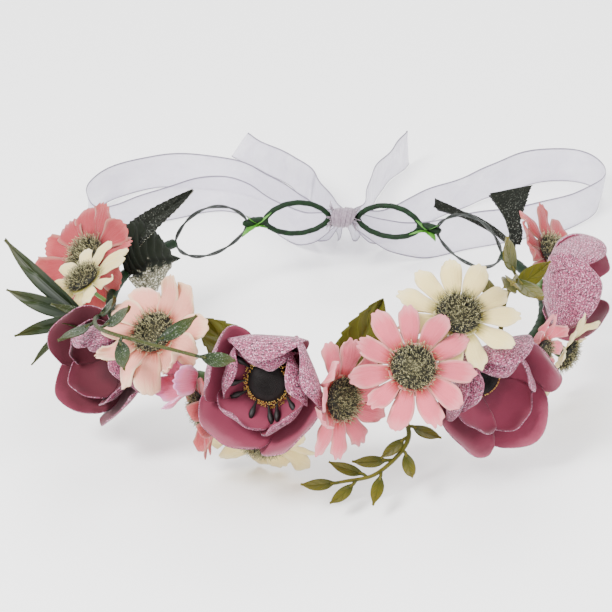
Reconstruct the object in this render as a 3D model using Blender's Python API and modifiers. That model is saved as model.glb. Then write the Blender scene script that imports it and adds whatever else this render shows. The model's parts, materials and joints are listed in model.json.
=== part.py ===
"""Flower crown: a wired vine band, silk flowers and leaves rooted on it, and a ribbon bow behind.

Metres, +Z up, front towards -Y.  The band's plane is level, and the whole crown stands on the
plane under its lowest petals.  Angles round the band are in degrees: 0 is the front, +90 the
wearer's left side (+X), 180 the back.  Every place on the crown is given as (angle, out, rise):
degrees round the band, metres outwards from the band's centre line, and metres above it.
"""

import math

import bmesh
import bpy
from mathutils import Matrix, Vector
from mathutils.bvhtree import BVHTree

# ---- driving dimensions -------------------------------------------------------------------
RING_RADIUS = 0.088        # centre line of the band, for a 55 to 58 cm head
TABLE_DROP = 0.031         # from the band's plane down to the surface the crown lies on
HEAD_MARGIN = 0.009        # petals and leaves keep this far outside the head, inside the band
GAP = 0.0003               # air between two pieces that touch
FABRIC = 0.0005            # a petal's or leaf's stiffened cloth

CORE_RADIUS = 0.0011       # steel wire inside the band
TAPE_WALL = 0.0008         # floral tape wound round it
BARE_WIRE_RADIUS = 0.0006  # green wire of the outer loops at the back
WRAPPED_RADIUS = 0.0012    # the same wire under tape, in the inner eyelets
EYELET_ARC = 26.0          # degrees of the ring that one taped eyelet takes
LOOP_ARC = 28.0            # degrees that one bare wire loop takes
EYELET_HEIGHT = 0.0175
LOOP_HEIGHT = 0.0240
JUNCTION_LENGTH = 0.0056   # tape lump between an eyelet and a bare loop
JUNCTION_RADIUS = 0.0020
CENTRE_LENGTH = 0.0096     # taped wire between the two eyelets, inside the knot
CENTRE_RADIUS = 0.0015

RIBBON_WIDTH = 0.018
RIBBON_THICKNESS = 0.0006
RIBBON_CLEAR_OF_TABLE = 0.0006
KNOT_LENGTH = 0.0080       # along the band
KNOT_WALL = 0.0034
KNOT_LEAVE = 0.0012        # between the knot and the ribbon that comes out of it
GATHERED_WIDTH = 0.006     # the ribbon where it is pinched at the knot
GATHER_LENGTH = 0.026      # from the knot to where it is flat again
RIBBON_FALL = 0.050        # from the knot to where it stands on its edge on the table

STEM_RADIUS = 0.0008
NECK_RADIUS = 0.0019       # the stem where the petals are threaded on it
LAYER_STEP = 0.0013        # from one ring of petals on a stem to the next
CALYX_LENGTH = 0.0070

SWING_STEP = 5             # degrees a crowded petal folds at each try
SHORTEST_PETAL = 0.35      # how much of its length a tucked petal may keep
LEAF_BEND = 8.0            # degrees a free spray of leaves bends to each side

RING_SIDES = 8
TAPE_TURNS = 42            # straight steps round the band
LOOP_POINTS = 26           # points round one eye of wire
EYE_SQUARENESS = 0.3       # 1 makes an eye an ellipse, less makes it fuller at its ends
LUMP_STEPS = 6
LUMP_ENDS = 0.55           # a tape lump's radius at its ends, as a share of its middle
KNOT_STEPS = 12
RIBBON_STEPS = 3           # ribbon faces between two points of its route
STEM_GRIP = 0.4            # how far a stem runs straight out of its two ends before it bends
STEM_BENDS = 4
SHOULDER = 0.00002         # a step in a turned profile that reads as a flat shoulder
PETAL_TIP = 0.55           # a petal's width at its tip, as a share of its widest
PETAL_ROOM = 0.9           # how much of its own sector a petal may fill
LEAF_FOLD = 0.18           # rise of a leaf's edges, as a share of its half width
LEAF_STALK = 0.12          # share of a leaf's length that is bare stalk
LEAF_STEPS = 4
THINNEST_LEAF = 0.0006
SPRIG_STEM = 0.0007        # half width of a sprig's stem strip
SPRAY_PITCH = 0.0014       # between two blades where they leave their stalk
SPRAY_ARCH = 0.05          # how far a blade bows out, as a share of its length

# ---- kinds of flower ------------------------------------------------------------------------
# layers, from the back: (petals, length, half width, hub radius, fold, curl, cup)
# fold is the slope at the hub and curl the bend to the tip, in degrees; cup lifts the two edges.
DAISY = dict(
    disc=(0.0074, 0.0042),
    layers={"petals": (11, 0.0165, 0.0043, 0.0079, 12, -14, 0.0)},
)
ANEMONE = dict(
    disc=(0.0040, 0.0042),
    layers={
        "outer_petals": (5, 0.0265, 0.0118, 0.0058, 14, 74, 0.0022),
        "inner_petals": (5, 0.0200, 0.0088, 0.0048, 24, 62, 0.0018),
    },
)
STAMENED = dict(
    disc=(0.0040, 0.0042),
    layers={**ANEMONE["layers"], "stamens": (12, 0.0066, 0.0006, 0.0046, 42, -30, 0.0)},
)
PEONY = dict(
    disc=(0.0040, 0.0100),
    layers={
        "outer_petals": (5, 0.0270, 0.0128, 0.0058, 12, 108, 0.0020),
        "inner_petals": (4, 0.0200, 0.0090, 0.0048, 34, 76, 0.0016),
    },
)
BUD = dict(
    disc=(0.0028, 0.0040),
    layers={"petals": (5, 0.0150, 0.0046, 0.0032, 50, 30, 0.0008)},
)

# name: kind, size, root angle, hub (angle, out, rise), facing (azimuth, elevation), lean
# lean curls the upper petals further forward, in degrees.
FLOWERS = {
    "anemone_front": (STAMENED, 1.10, -7, (-6, 0.018, 0.016), (-10, 14), 22),
    "daisy_pink_front": (DAISY, 0.97, 18, (20, 0.027, 0.024), (12, 34), 0),
    "daisy_cream_right": (DAISY, 0.98, 31, (31, 0.018, 0.037), (14, 54), 0),
    "daisy_peach_left": (DAISY, 0.94, -30, (-30, 0.022, 0.027), (-24, 46), 0),
    "daisy_pink_turned": (DAISY, 0.94, 6, (7, 0.024, 0.012), (52, 14), 0),
    "anemone_right": (ANEMONE, 1.08, 42, (39, 0.012, 0.007), (34, -4), 6),
    "anemone_left": (ANEMONE, 1.02, -45, (-44, 0.014, 0.008), (-38, 4), 6),
    "daisy_cream_left": (DAISY, 0.86, -81, (-80, 0.010, 0.012), (-62, 58), 0),
    "peony_right": (PEONY, 1.10, 88, (88, 0.000, 0.011), (82, 2), 0),
    "daisy_salmon_left": (DAISY, 1.04, -98, (-98, 0.014, 0.008), (-40, 36), 0),
    "daisy_salmon_right": (DAISY, 0.98, 114, (114, 0.012, 0.006), (66, 40), 0),
    "bud_violet": (BUD, 1.00, -23, (-21, 0.023, 0.014), (-64, 10), 0),
    "daisy_salmon_nodding": (DAISY, 0.80, -20, (-20, 0.020, 0.001), (-68, -6), 0),
    "daisy_pink_small": (DAISY, 0.66, 56, (56, 0.015, 0.008), (60, -6), 0),
    "daisy_cream_under": (DAISY, 0.92, -12, (-9, 0.013, -0.012), (-12, -34), 0),
    "daisy_cream_back": (DAISY, 0.80, 73, (73, 0.012, -0.006), (72, -24), 0),
}

# ---- leaves -----------------------------------------------------------------------------------
# name: half width, route of (angle, out, rise) from the band to the tip, and the way it faces
LEAVES = {
    "olive_leaf_left": (0.0085, [(-14, 0.004, 0.004), (-17, 0.004, 0.017), (-25, 0.006, 0.028)], (-10, 40)),
    "olive_leaf_right": (0.0085, [(12, 0.004, 0.004), (12, 0.003, 0.020), (17, 0.004, 0.040)], (5, 30)),
    "velvet_leaf_broad": (0.0135, [(-100, -0.0040, 0.001), (-107, -0.007, 0.009), (-123, -0.006, 0.008)], (60, 15)),
    "velvet_leaf_long": (0.0052, [(-105, 0.003, 0.005), (-110, 0.000, 0.014), (-133, 0.001, 0.020)], (30, 50)),
}

# name: stem route, leaflets, leaflet length and half width, and the way the spray faces
SPRIGS = {
    "front_sprig": ([(22, 0.0035, -0.003), (21, 0.018, -0.010), (14, 0.026, -0.018), (7, 0.028, -0.020)],
                    8, 0.0110, 0.0026, (0, 55)),
    "left_sprig": ([(-53, 0.003, 0.003), (-51, 0.016, 0.019), (-36, 0.036, 0.030), (-16, 0.041, 0.033)],
                   8, 0.0120, 0.0027, (-20, 50)),
    "right_sprig": ([(50, 0.003, 0.003), (50, 0.005, 0.028), (45, 0.018, 0.046), (37, 0.034, 0.054)],
                    6, 0.0120, 0.0030, (20, 40)),
}

# name: stalk route, then one blade for each tip: (tip, half width at the middle, at the tip), facing
SPRAYS = {
    "spear_leaves": ([(-66, 0.003, 0.000), (-68, 0.014, 0.005)],
                     [((-82, 0.041, 0.029), 0.0026, 0.0004), ((-75, 0.041, 0.014), 0.0024, 0.0004),
                      ((-66, 0.041, 0.003), 0.0020, 0.0004), ((-60, 0.038, -0.004), 0.0018, 0.0004)],
                     (-40, 20)),
    "strap_leaves": ([(125, 0.003, 0.001), (126, 0.005, 0.004)],
                     [((138, 0.012, 0.023), 0.0046, 0.0066), ((155, 0.009, 0.007), 0.0032, 0.0024)],
                     (150, 20)),
}

# ---- ribbon routes behind the knot, in plan: (right, back) from the knot's centre -------------
BOW = {
    "bow_loop_left": [(-0.004, 0.000), (-0.033, 0.040), (-0.062, 0.070), (-0.094, 0.050), (-0.115, 0.028),
                      (-0.126, 0.040), (-0.124, 0.072), (-0.097, 0.098), (-0.055, 0.090), (-0.024, 0.050),
                      (-0.0015, 0.002)],
    "bow_loop_right": [(0.0015, 0.002), (0.028, 0.054), (0.056, 0.088), (0.086, 0.120), (0.108, 0.124),
                       (0.120, 0.104), (0.112, 0.074), (0.086, 0.050), (0.048, 0.028), (0.0045, 0.000)],
    "bow_tail_left": [(-0.0010, 0.006), (-0.008, 0.046), (-0.030, 0.096), (-0.069, 0.146)],
    "bow_tail_right": [(0.0010, 0.006), (0.005, 0.046), (0.010, 0.096), (0.022, 0.143)],
}
# how far each may swing about the knot, in degrees, seen from above: (clockwise, anticlockwise)
BOW_SWING = {
    "bow_loop_left": (-4.0, 12.0),
    "bow_loop_right": (-12.0, 4.0),
    "bow_tail_left": (-4.0, 4.0),
    "bow_tail_right": (-4.0, 4.0),
}

# ---- colours ------------------------------------------------------------------------------------
COLOURS = {
    "wire": ((0.16, 0.21, 0.19), 0.45, 0.7),
    "tape": ((0.09, 0.25, 0.10), 0.75, 0.0),
    "ribbon": ((0.86, 0.84, 0.88), 0.50, 0.0),
    "leaf_olive": ((0.38, 0.38, 0.12), 0.60, 0.0),
    "leaf_dark": ((0.08, 0.12, 0.06), 0.90, 0.0),
    "petal_pink": ((0.94, 0.64, 0.65), 0.80, 0.0),
    "petal_cream": ((0.94, 0.89, 0.76), 0.80, 0.0),
    "petal_peach": ((0.97, 0.83, 0.76), 0.80, 0.0),
    "petal_salmon": ((0.88, 0.52, 0.52), 0.80, 0.0),
    "petal_mauve": ((0.64, 0.34, 0.44), 0.75, 0.0),
    "centre_dark": ((0.18, 0.08, 0.05), 0.85, 0.0),
    "centre_khaki": ((0.45, 0.42, 0.28), 0.90, 0.0),
}

obstacles = {}             # every finished piece's surfaces, for the petals to keep clear of


# ---- small helpers --------------------------------------------------------------------------
def clear_scene():
    for old in list(bpy.data.objects):
        bpy.data.objects.remove(old, do_unlink=True)


def material(name):
    """One Principled material for each finish."""
    found = bpy.data.materials.get(name)
    if found:
        return found
    colour, roughness, metallic = COLOURS[name]
    made = bpy.data.materials.new(name)
    made.use_nodes = True
    shader = made.node_tree.nodes["Principled BSDF"]
    shader.inputs["Base Color"].default_value = (*colour, 1.0)
    shader.inputs["Roughness"].default_value = roughness
    shader.inputs["Metallic"].default_value = metallic
    return made


def ring_point(angle, out=0.0, rise=0.0):
    turn = math.radians(angle)
    radius = RING_RADIUS + out
    return Vector((radius * math.sin(turn), -radius * math.cos(turn), rise))


def facing(azimuth, elevation):
    turn, lift = math.radians(azimuth), math.radians(elevation)
    level = math.cos(lift)
    return Vector((math.sin(turn) * level, -math.cos(turn) * level, math.sin(lift)))


def arc_degrees(length):
    """The angle of the ring that a length along its centre line takes."""
    return math.degrees(length / RING_RADIUS)


def smooth_route(points, steps):
    """Points along a Catmull-Rom curve through the given ones, with equal steps between each two."""
    ends = [points[0] * 2 - points[1], *points, points[-1] * 2 - points[-2]]
    route = []
    for before, start, end, after in zip(ends, ends[1:], ends[2:], ends[3:]):
        for step in range(steps):
            t = step / steps
            route.append(0.5 * (2 * start + (end - before) * t
                                + (2 * before - 5 * start + 4 * end - after) * t * t
                                + (3 * start - before - 3 * end + after) * t ** 3))
    route.append(points[-1].copy())
    return route


def add_object(name, data, finish, parent=None):
    made = bpy.data.objects.new(name, data)
    data.materials.append(material(finish))
    crown.objects.link(made)
    made.parent = parent or root
    return made


def surfaces_of(made):
    """The evaluated surface of an object, as points and faces in the crown's frame."""
    bpy.context.view_layer.update()
    evaluated = made.evaluated_get(bpy.context.evaluated_depsgraph_get())
    mesh = evaluated.to_mesh()
    points = [evaluated.matrix_world @ vertex.co for vertex in mesh.vertices]
    faces = [tuple(face.vertices) for face in mesh.polygons]
    evaluated.to_mesh_clear()
    return points, faces


def hinge_at(name, pivot):
    """An empty on a hinge's axis, for the piece that turns about it."""
    hinge = bpy.data.objects.new(f"{name}_hinge", None)
    crown.objects.link(hinge)
    hinge.parent = root
    hinge.location = pivot
    return hinge


def remember(made, swings=(0.0,), pivot=None, axis=None):
    """Keeps the piece as something to stay clear of, at rest and at each angle it swings to."""
    points, faces = surfaces_of(made)
    trees = []
    for swing in swings:
        turned = points
        if swing:
            turn = (Matrix.Translation(pivot) @ Matrix.Rotation(math.radians(swing), 4, axis)
                    @ Matrix.Translation(-pivot))
            turned = [turn @ point for point in points]
        trees.append(BVHTree.FromPolygons(turned, faces))
    obstacles[made.name] = trees


# ---- blades: anything cut from stiffened cloth ------------------------------------------------
def blade_normals(grid):
    """A unit normal at each point of a grid of rows across the blade."""
    normals = []
    last_row, last_col = len(grid) - 1, len(grid[0]) - 1
    for i, row in enumerate(grid):
        line = []
        for j in range(len(row)):
            along = grid[min(i + 1, last_row)][j] - grid[max(i - 1, 0)][j]
            across = row[min(j + 1, last_col)] - row[max(j - 1, 0)]
            line.append(across.cross(along).normalized())
        normals.append(line)
    return normals


def swollen(grid, margin):
    """A closed body all round a blade, thicker by margin, to test what it would touch."""
    normals = blade_normals(grid)
    columns = len(grid[0])
    points = []
    for side in (1, -1):
        for row, line in zip(grid, normals):
            points.extend(point + normal * margin * side for point, normal in zip(row, line))
    half = len(grid) * columns
    faces = []
    for i in range(len(grid) - 1):
        for j in range(columns - 1):
            a = i * columns + j
            quad = (a, a + 1, a + columns + 1, a + columns)
            faces.append(quad)
            faces.append(tuple(k + half for k in reversed(quad)))
    rim = [i * columns for i in range(len(grid))]
    rim += [(len(grid) - 1) * columns + j for j in range(1, columns)]
    rim += [i * columns + columns - 1 for i in range(len(grid) - 2, -1, -1)]
    rim += [j for j in range(columns - 2, 0, -1)]
    for a, b in zip(rim, rim[1:] + rim[:1]):
        faces.append((a, b, b + half, a + half))
    return points, faces


def is_clear(grids, skip):
    """True when blades laid on these grids touch nothing, stay off the table and off the head."""
    margin = FABRIC / 2 + GAP * 1.4
    for grid in grids:
        points, faces = swollen(grid, margin)
        for point in points:
            if point.z < -TABLE_DROP:
                return False
            if math.hypot(point.x, point.y) < RING_RADIUS - HEAD_MARGIN:
                return False
        body = BVHTree.FromPolygons(points, faces)
        for name, trees in obstacles.items():
            if name not in skip and any(body.overlap(tree) for tree in trees):
                return False
    return True


def extrude_row(bm, edges, row):
    """Extrudes a chain of edges and lays the new points on a row that runs the same way."""
    grown = bmesh.ops.extrude_edge_only(bm, edges=edges)["geom"]
    points = [item for item in grown if isinstance(item, bmesh.types.BMVert)]
    across = row[-1] - row[0]
    points.sort(key=lambda vertex: vertex.co.dot(across))
    for vertex, place in zip(points, row):
        vertex.co = place
    fresh = set(points)
    return [item for item in grown if isinstance(item, bmesh.types.BMEdge)
            and item.verts[0] in fresh and item.verts[1] in fresh]


def cloth_object(name, bm, finish, pivot=None):
    """A thin closed body from an open surface, on a hinge at the pivot when one is given."""
    bmesh.ops.recalc_face_normals(bm, faces=bm.faces[:])
    hinge = None
    if pivot is not None:
        bmesh.ops.translate(bm, verts=bm.verts[:], vec=-pivot)
        hinge = hinge_at(name, pivot)
    mesh = bpy.data.meshes.new(name)
    bm.to_mesh(mesh)
    bm.free()
    made = add_object(name, mesh, finish, hinge)
    wall = made.modifiers.new("cloth", "SOLIDIFY")
    wall.thickness = FABRIC
    wall.offset = 0.0
    return made


# ---- the wire frame ----------------------------------------------------------------------------
def round_curve(name, points, radius, finish, closed=False, radii=None, sides=6):
    """A wire along the points, as a curve with a round bevel."""
    curve = bpy.data.curves.new(name, "CURVE")
    curve.dimensions = "3D"
    curve.bevel_depth = radius
    curve.bevel_resolution = sides // 2 - 2
    curve.use_fill_caps = not closed
    spline = curve.splines.new("POLY")
    spline.points.add(len(points) - 1)
    for index, (target, place) in enumerate(zip(spline.points, points)):
        target.co = (*place, 1.0)
        target.radius = radii[index] / radius if radii else 1.0
    spline.use_cyclic_u = closed
    return add_object(name, curve, finish)


def band_half_angle():
    return 180 - EYELET_ARC - LOOP_ARC


def make_band():
    """The steel core and the tape wound round it: a long open-ended sleeve."""
    half = band_half_angle()
    count = TAPE_TURNS
    route = [ring_point(-half + 2 * half * i / count) for i in range(count + 1)]
    remember(round_curve("band_wire", route, CORE_RADIUS, "wire", sides=6))

    bm = bmesh.new()
    start = ring_point(-half)
    heading = Matrix.Rotation(math.radians(-half), 4, "Z") @ Matrix.Rotation(math.pi / 2, 4, "Y")
    inner = CORE_RADIUS + GAP
    outer = inner + TAPE_WALL
    bmesh.ops.create_circle(bm, segments=RING_SIDES, radius=outer,
                            matrix=Matrix.Translation(start) @ heading)
    grown = bmesh.ops.extrude_edge_only(bm, edges=bm.edges[:])["geom"]
    for vertex in [item for item in grown if isinstance(item, bmesh.types.BMVert)]:
        vertex.co = start + (vertex.co - start) * inner / outer
    bmesh.ops.spin(bm, geom=bm.verts[:] + bm.edges[:] + bm.faces[:], cent=(0, 0, 0), axis=(0, 0, 1),
                   dvec=(0, 0, 0), angle=math.radians(2 * half), steps=count, use_merge=False,
                   use_duplicate=False)
    bmesh.ops.recalc_face_normals(bm, faces=bm.faces[:])
    mesh = bpy.data.meshes.new("band_tape")
    bm.to_mesh(mesh)
    bm.free()
    mesh.shade_smooth()
    remember(add_object("band_tape", mesh, "tape"))


def eye_loop(name, start, end, height, radius, finish):
    """A closed eye of wire that stands on the ring between two angles."""
    middle, half = (start + end) / 2, (end - start) / 2 - arc_degrees(radius)
    route = []
    for index in range(LOOP_POINTS):
        turn = 2 * math.pi * index / LOOP_POINTS
        lift = math.sin(turn) * abs(math.sin(turn)) ** EYE_SQUARENESS
        route.append(ring_point(middle + half * math.cos(turn), 0.0, lift * (height / 2 - radius)))
    remember(round_curve(name, route, radius, finish, closed=True, sides=6))


def lump(name, angle, length, radius, finish):
    """A spindle of tape along the ring, round the wires that meet there."""
    shares = [i / LUMP_STEPS for i in range(LUMP_STEPS + 1)]
    route = [ring_point(angle + arc_degrees(length) * (share - 0.5)) for share in shares]
    swell = [radius * (LUMP_ENDS + (1 - LUMP_ENDS) * math.sin(math.pi * share)) for share in shares]
    remember(round_curve(name, route, radius, finish, radii=swell, sides=8))


def make_back_frame():
    """Two taped eyelets and two bare loops, with tape lumps where they meet."""
    lump("centre_joint", 180, CENTRE_LENGTH, CENTRE_RADIUS, "tape")
    centre_half = arc_degrees(CENTRE_LENGTH / 2 + GAP)
    joint_half = arc_degrees(JUNCTION_LENGTH / 2 + GAP)
    band_end = band_half_angle() + arc_degrees(GAP * 2)
    for side, sign in (("left", -1), ("right", 1)):
        junction = 180 - EYELET_ARC
        eyelet = sorted((sign * (180 - centre_half), sign * (junction + joint_half)))
        loop = sorted((sign * (junction - joint_half), sign * band_end))
        eye_loop(f"eyelet_{side}", *eyelet, EYELET_HEIGHT, WRAPPED_RADIUS, "tape")
        eye_loop(f"wire_loop_{side}", *loop, LOOP_HEIGHT, BARE_WIRE_RADIUS, "wire")
        lump(f"tape_joint_{side}", sign * junction, JUNCTION_LENGTH, JUNCTION_RADIUS, "tape")


# ---- the ribbon ----------------------------------------------------------------------------------
def knot_axis_place():
    return ring_point(180)


def make_knot():
    """The knot: a thick soft sleeve round the centre joint, turned about the band."""
    inner = CENTRE_RADIUS + GAP
    outer = inner + KNOT_WALL
    half = KNOT_LENGTH / 2
    profile = [(inner, half * 0.8), (inner + KNOT_WALL * 0.4, half), (outer, half * 0.45),
               (outer, -half * 0.45), (inner + KNOT_WALL * 0.4, -half), (inner, -half * 0.8)]
    mesh = bpy.data.meshes.new("bow_knot")
    edges = [(i, (i + 1) % len(profile)) for i in range(len(profile))]
    mesh.from_pydata([(radius, 0.0, height) for radius, height in profile], edges, [])
    made = add_object("bow_knot", mesh, "ribbon")
    made.location = knot_axis_place()
    made.rotation_euler = (0.0, math.pi / 2, 0.0)
    turned = made.modifiers.new("turned", "SCREW")
    turned.steps = turned.render_steps = KNOT_STEPS
    turned.use_merge_vertices = True
    turned.merge_threshold = 0.0001
    remember(made)


def bow_start():
    """Where the ribbon leaves the knot, on its outer side."""
    return ring_point(180, CENTRE_RADIUS + GAP + KNOT_WALL + KNOT_LEAVE)


def make_bow():
    """Two loops and two tails of ribbon on edge, each turning about the knot."""
    pivot = knot_axis_place()
    low = RIBBON_WIDTH / 2 + RIBBON_CLEAR_OF_TABLE - TABLE_DROP
    for name, plan in BOW.items():
        start = bow_start() - pivot
        flat = smooth_route([Vector((x, y, 0.0)) + start for x, y in plan], RIBBON_STEPS)
        bm = bmesh.new()
        chain = None
        for point in flat:
            away = math.hypot(point.x, point.y - start.y)
            sunk = low * (1 - (1 - min(1.0, away / RIBBON_FALL)) ** 2)
            spread = min(1.0, away / GATHER_LENGTH)
            half = (GATHERED_WIDTH + (RIBBON_WIDTH - GATHERED_WIDTH) * spread) / 2
            row = [Vector((point.x, point.y, sunk + side * half)) for side in (-1, 1)]
            if chain is None:
                chain = [bm.edges.new([bm.verts.new(place) for place in row])]
            else:
                chain = extrude_row(bm, chain, row)
        bmesh.ops.recalc_face_normals(bm, faces=bm.faces[:])
        mesh = bpy.data.meshes.new(name)
        bm.to_mesh(mesh)
        bm.free()
        made = add_object(name, mesh, "ribbon", hinge_at(name, pivot))
        wall = made.modifiers.new("weave", "SOLIDIFY")
        wall.thickness = RIBBON_THICKNESS
        wall.offset = 0.0
        remember(made, (0.0, *BOW_SWING[name]), pivot, Vector((0, 0, 1)))


# ---- flowers ---------------------------------------------------------------------------------------
def flower_matrix(hub, axis):
    """The flower's own axes: its Z along the way it faces and its Y as near up as that allows."""
    up = (Vector((0, 0, 1)) - axis * axis.z).normalized()
    side = up.cross(axis)
    frame = Matrix((side, up, axis)).transposed().to_4x4()
    return Matrix.Translation(hub) @ frame


def stem_profile(kind, size, layers):
    """(height above the hub, radius) down the straight head of a stem, from the disc's top."""
    disc_radius, disc_height = kind["disc"][0] * size, kind["disc"][1] * size
    under = (layers - 1) * LAYER_STEP + FABRIC / 2 + GAP
    return [
        (under + disc_height, disc_radius * 0.35),
        (under + disc_height * 0.86, disc_radius * 0.74),
        (under + disc_height * 0.5, disc_radius),
        (under + SHOULDER, disc_radius * 0.92),
        (under, NECK_RADIUS),
        (-FABRIC / 2 - GAP, NECK_RADIUS),
        (-FABRIC / 2 - GAP - SHOULDER, NECK_RADIUS * 1.5),
        (-CALYX_LENGTH * 0.55, NECK_RADIUS * 1.2),
        (-CALYX_LENGTH, STEM_RADIUS),
    ]


def make_stem(name, kind, size, root_angle, hub, axis):
    """Disc, neck, calyx and the wire that bends back to the band, in one turned piece."""
    head = stem_profile(kind, size, len(kind["layers"]))
    points = [hub + axis * height for height, _ in head]
    radii = [radius for _, radius in head]
    back = points[-1]
    bed = ring_point(root_angle)
    reach = CORE_RADIUS + GAP + TAPE_WALL + GAP
    radial = ring_point(root_angle).normalized()
    away = back - bed
    away = (radial * away.dot(radial) + Vector((0, 0, away.z))).normalized()
    foot = bed + away * reach
    grip = (back - foot).length * STEM_GRIP
    one, two = back - axis * grip, foot + away * grip
    for index in range(1, STEM_BENDS + 1):
        t = index / STEM_BENDS
        points.append(back * (1 - t) ** 3 + one * 3 * t * (1 - t) ** 2
                      + two * 3 * t * t * (1 - t) + foot * t ** 3)
        radii.append(STEM_RADIUS)
    finish = "centre_khaki" if kind is DAISY else "centre_dark"
    made = round_curve(f"{name}_stem", points, STEM_RADIUS, finish, radii=radii, sides=8)
    remember(made)
    return made


def petal_grid(frame, layer, size, height, turn, fold, curl, scale):
    """Rows of points across one petal, from the hub's rim to its tip, in the crown's frame."""
    count, length, half_width, hub_radius, _, _, cup = layer
    length *= size * scale
    fold, curl = math.radians(fold), math.radians(curl)
    rows = 4 if cup else 3
    columns = (-1, 0, 1) if cup else (-1, 1)
    grid = []
    for index in range(rows + 1):
        s = index / rows
        bend = curl * s
        if abs(curl) < 1e-4:
            out, up = s * length * math.cos(fold), s * length * math.sin(fold)
        else:
            out = length * (math.sin(fold + bend) - math.sin(fold)) / curl
            up = length * (math.cos(fold) - math.cos(fold + bend)) / curl
        radius = hub_radius * size + out
        swell = math.sin(math.pi * min(1.0, 0.18 + 0.62 * s)) if index < rows else PETAL_TIP
        room = max(GAP, radius * math.tan(math.pi / count) * PETAL_ROOM - GAP)
        wide = min(half_width * size * swell, room)
        if index == 0:
            wide = hub_radius * size * math.tan(math.pi / count) * 0.8
            wide = min(wide, half_width * size)
        row = []
        for t in columns:
            lift = cup * size * t * t * s
            place = Vector((math.sin(turn) * (radius - lift * math.sin(fold + bend))
                            + math.cos(turn) * wide * t,
                            math.cos(turn) * (radius - lift * math.sin(fold + bend))
                            - math.sin(turn) * wide * t,
                            height + up + lift * math.cos(fold + bend)))
            row.append(frame @ place)
        grid.append(row)
    return grid


def tries():
    """Folds and lengths a crowded petal may take, the smallest change first."""
    found = []
    for steps in range(-17, 18):
        for scale in (1.0, 0.9, 0.8, 0.7, 0.6, 0.5, SHORTEST_PETAL):
            change = abs(steps) * SWING_STEP / 55 + (1 - scale) * 1.6
            found.append((change, steps * SWING_STEP, scale))
    return sorted(found, key=lambda item: (item[0], item[1]))


def settle_petal(frame, layer, size, height, turn, lean, skip):
    """The first way of folding the petal that touches nothing already there."""
    fold, curl = layer[4], layer[5] + lean * max(0.0, math.cos(turn))
    for _, change, scale in tries():
        if not -62 <= fold + change <= 84:
            continue
        grid = petal_grid(frame, layer, size, height, turn, fold + change, curl, scale)
        if is_clear([grid], skip):
            return grid
    return petal_grid(frame, layer, size, height, turn, fold, curl, SHORTEST_PETAL)


def make_petals(name, finish, frame, layer, size, height, lean, skip):
    """A ring of petals round a hub that is threaded on the stem's neck."""
    count, cup = layer[0], layer[-1]
    across = 2 if cup else 1
    grids = [settle_petal(frame, layer, size, height, 2 * math.pi * k / count, lean, skip)
             for k in range(count)]
    bm = bmesh.new()
    rim = [point for grid in grids for point in grid[0]]
    hub = frame @ Vector((0, 0, height))
    axis = frame.to_3x3() @ Vector((0, 0, 1))
    bore = (NECK_RADIUS + GAP) / math.cos(math.pi / len(rim))
    bmesh.ops.create_circle(bm, segments=len(rim), radius=bore)
    inside = sorted(bm.verts, key=lambda vertex: math.atan2(vertex.co.x, vertex.co.y) % (2 * math.pi))
    inside_edges = bm.edges[:]
    grown = bmesh.ops.extrude_edge_only(bm, edges=inside_edges)["geom"]
    outside = [item for item in grown if isinstance(item, bmesh.types.BMVert)]
    outside.sort(key=lambda vertex: math.atan2(vertex.co.x, vertex.co.y) % (2 * math.pi))
    local = frame.inverted()
    first_turn = math.atan2(*(local @ rim[0]).xy) % (2 * math.pi) - 2 * math.pi
    order = sorted(rim, key=lambda place: (math.atan2(*(local @ place).xy) - first_turn) % (2 * math.pi))
    for vertex, outer, place in zip(inside, outside, order):
        outer.co = place
        sideways = place - hub
        sideways -= axis * sideways.dot(axis)
        vertex.co = hub + sideways.normalized() * bore
    bm.verts.index_update()
    owner = {}
    for vertex in outside:
        owner[vertex] = min(range(count), key=lambda k: min((vertex.co - p).length for p in grids[k][0]))
    rim_edges = [edge for edge in bm.edges if edge.verts[0] in owner and edge.verts[1] in owner]
    for k, grid in enumerate(grids):
        chain = [edge for edge in rim_edges if owner[edge.verts[0]] == k == owner[edge.verts[1]]]
        assert len(chain) == across
        for row in grid[1:]:
            chain = extrude_row(bm, chain, row)
    made = cloth_object(name, bm, finish)
    remember(made)


def petal_finish(name):
    for word in ("pink", "cream", "peach", "salmon"):
        if word in name:
            return f"petal_{word}"
    return "petal_mauve"


def make_flowers():
    frames = {}
    for name, (kind, size, root_angle, hub, way, _) in FLOWERS.items():
        hub_place, axis = ring_point(*hub), facing(*way)
        frames[name] = flower_matrix(hub_place, axis)
        make_stem(name, kind, size, root_angle, hub_place, axis)
    return frames


def make_all_petals(frames):
    for name, (kind, size, _, _, _, lean) in FLOWERS.items():
        skip = {f"{name}_stem"}
        for index, (part, layer) in enumerate(kind["layers"].items()):
            finish = "centre_dark" if part == "stamens" else petal_finish(name)
            make_petals(f"{name}_{part}", finish, frames[name], layer, size, index * LAYER_STEP, lean, skip)


# ---- leaves ------------------------------------------------------------------------------------------
def leaf_grid(route, widths, face):
    """Rows of three points along a route, the outer two lifted a little off the midrib."""
    grid = []
    for index, (place, wide) in enumerate(zip(route, widths)):
        ahead = route[min(index + 1, len(route) - 1)] - route[max(index - 1, 0)]
        across = ahead.cross(face).normalized()
        normal = across.cross(ahead).normalized()
        fold = normal * wide * LEAF_FOLD
        grid.append([place - across * wide + fold, place.copy(), place + across * wide + fold])
    return grid


def leaf_widths(count, half_width):
    """A stalk, a belly at the middle and a point."""
    widths = []
    for index in range(count):
        s = index / (count - 1)
        belly = math.sin(math.pi * min(1.0, max(0.0, (s - LEAF_STALK) / (1 - LEAF_STALK)))) ** 0.7
        widths.append(max(THINNEST_LEAF, half_width * belly))
    return widths


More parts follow.
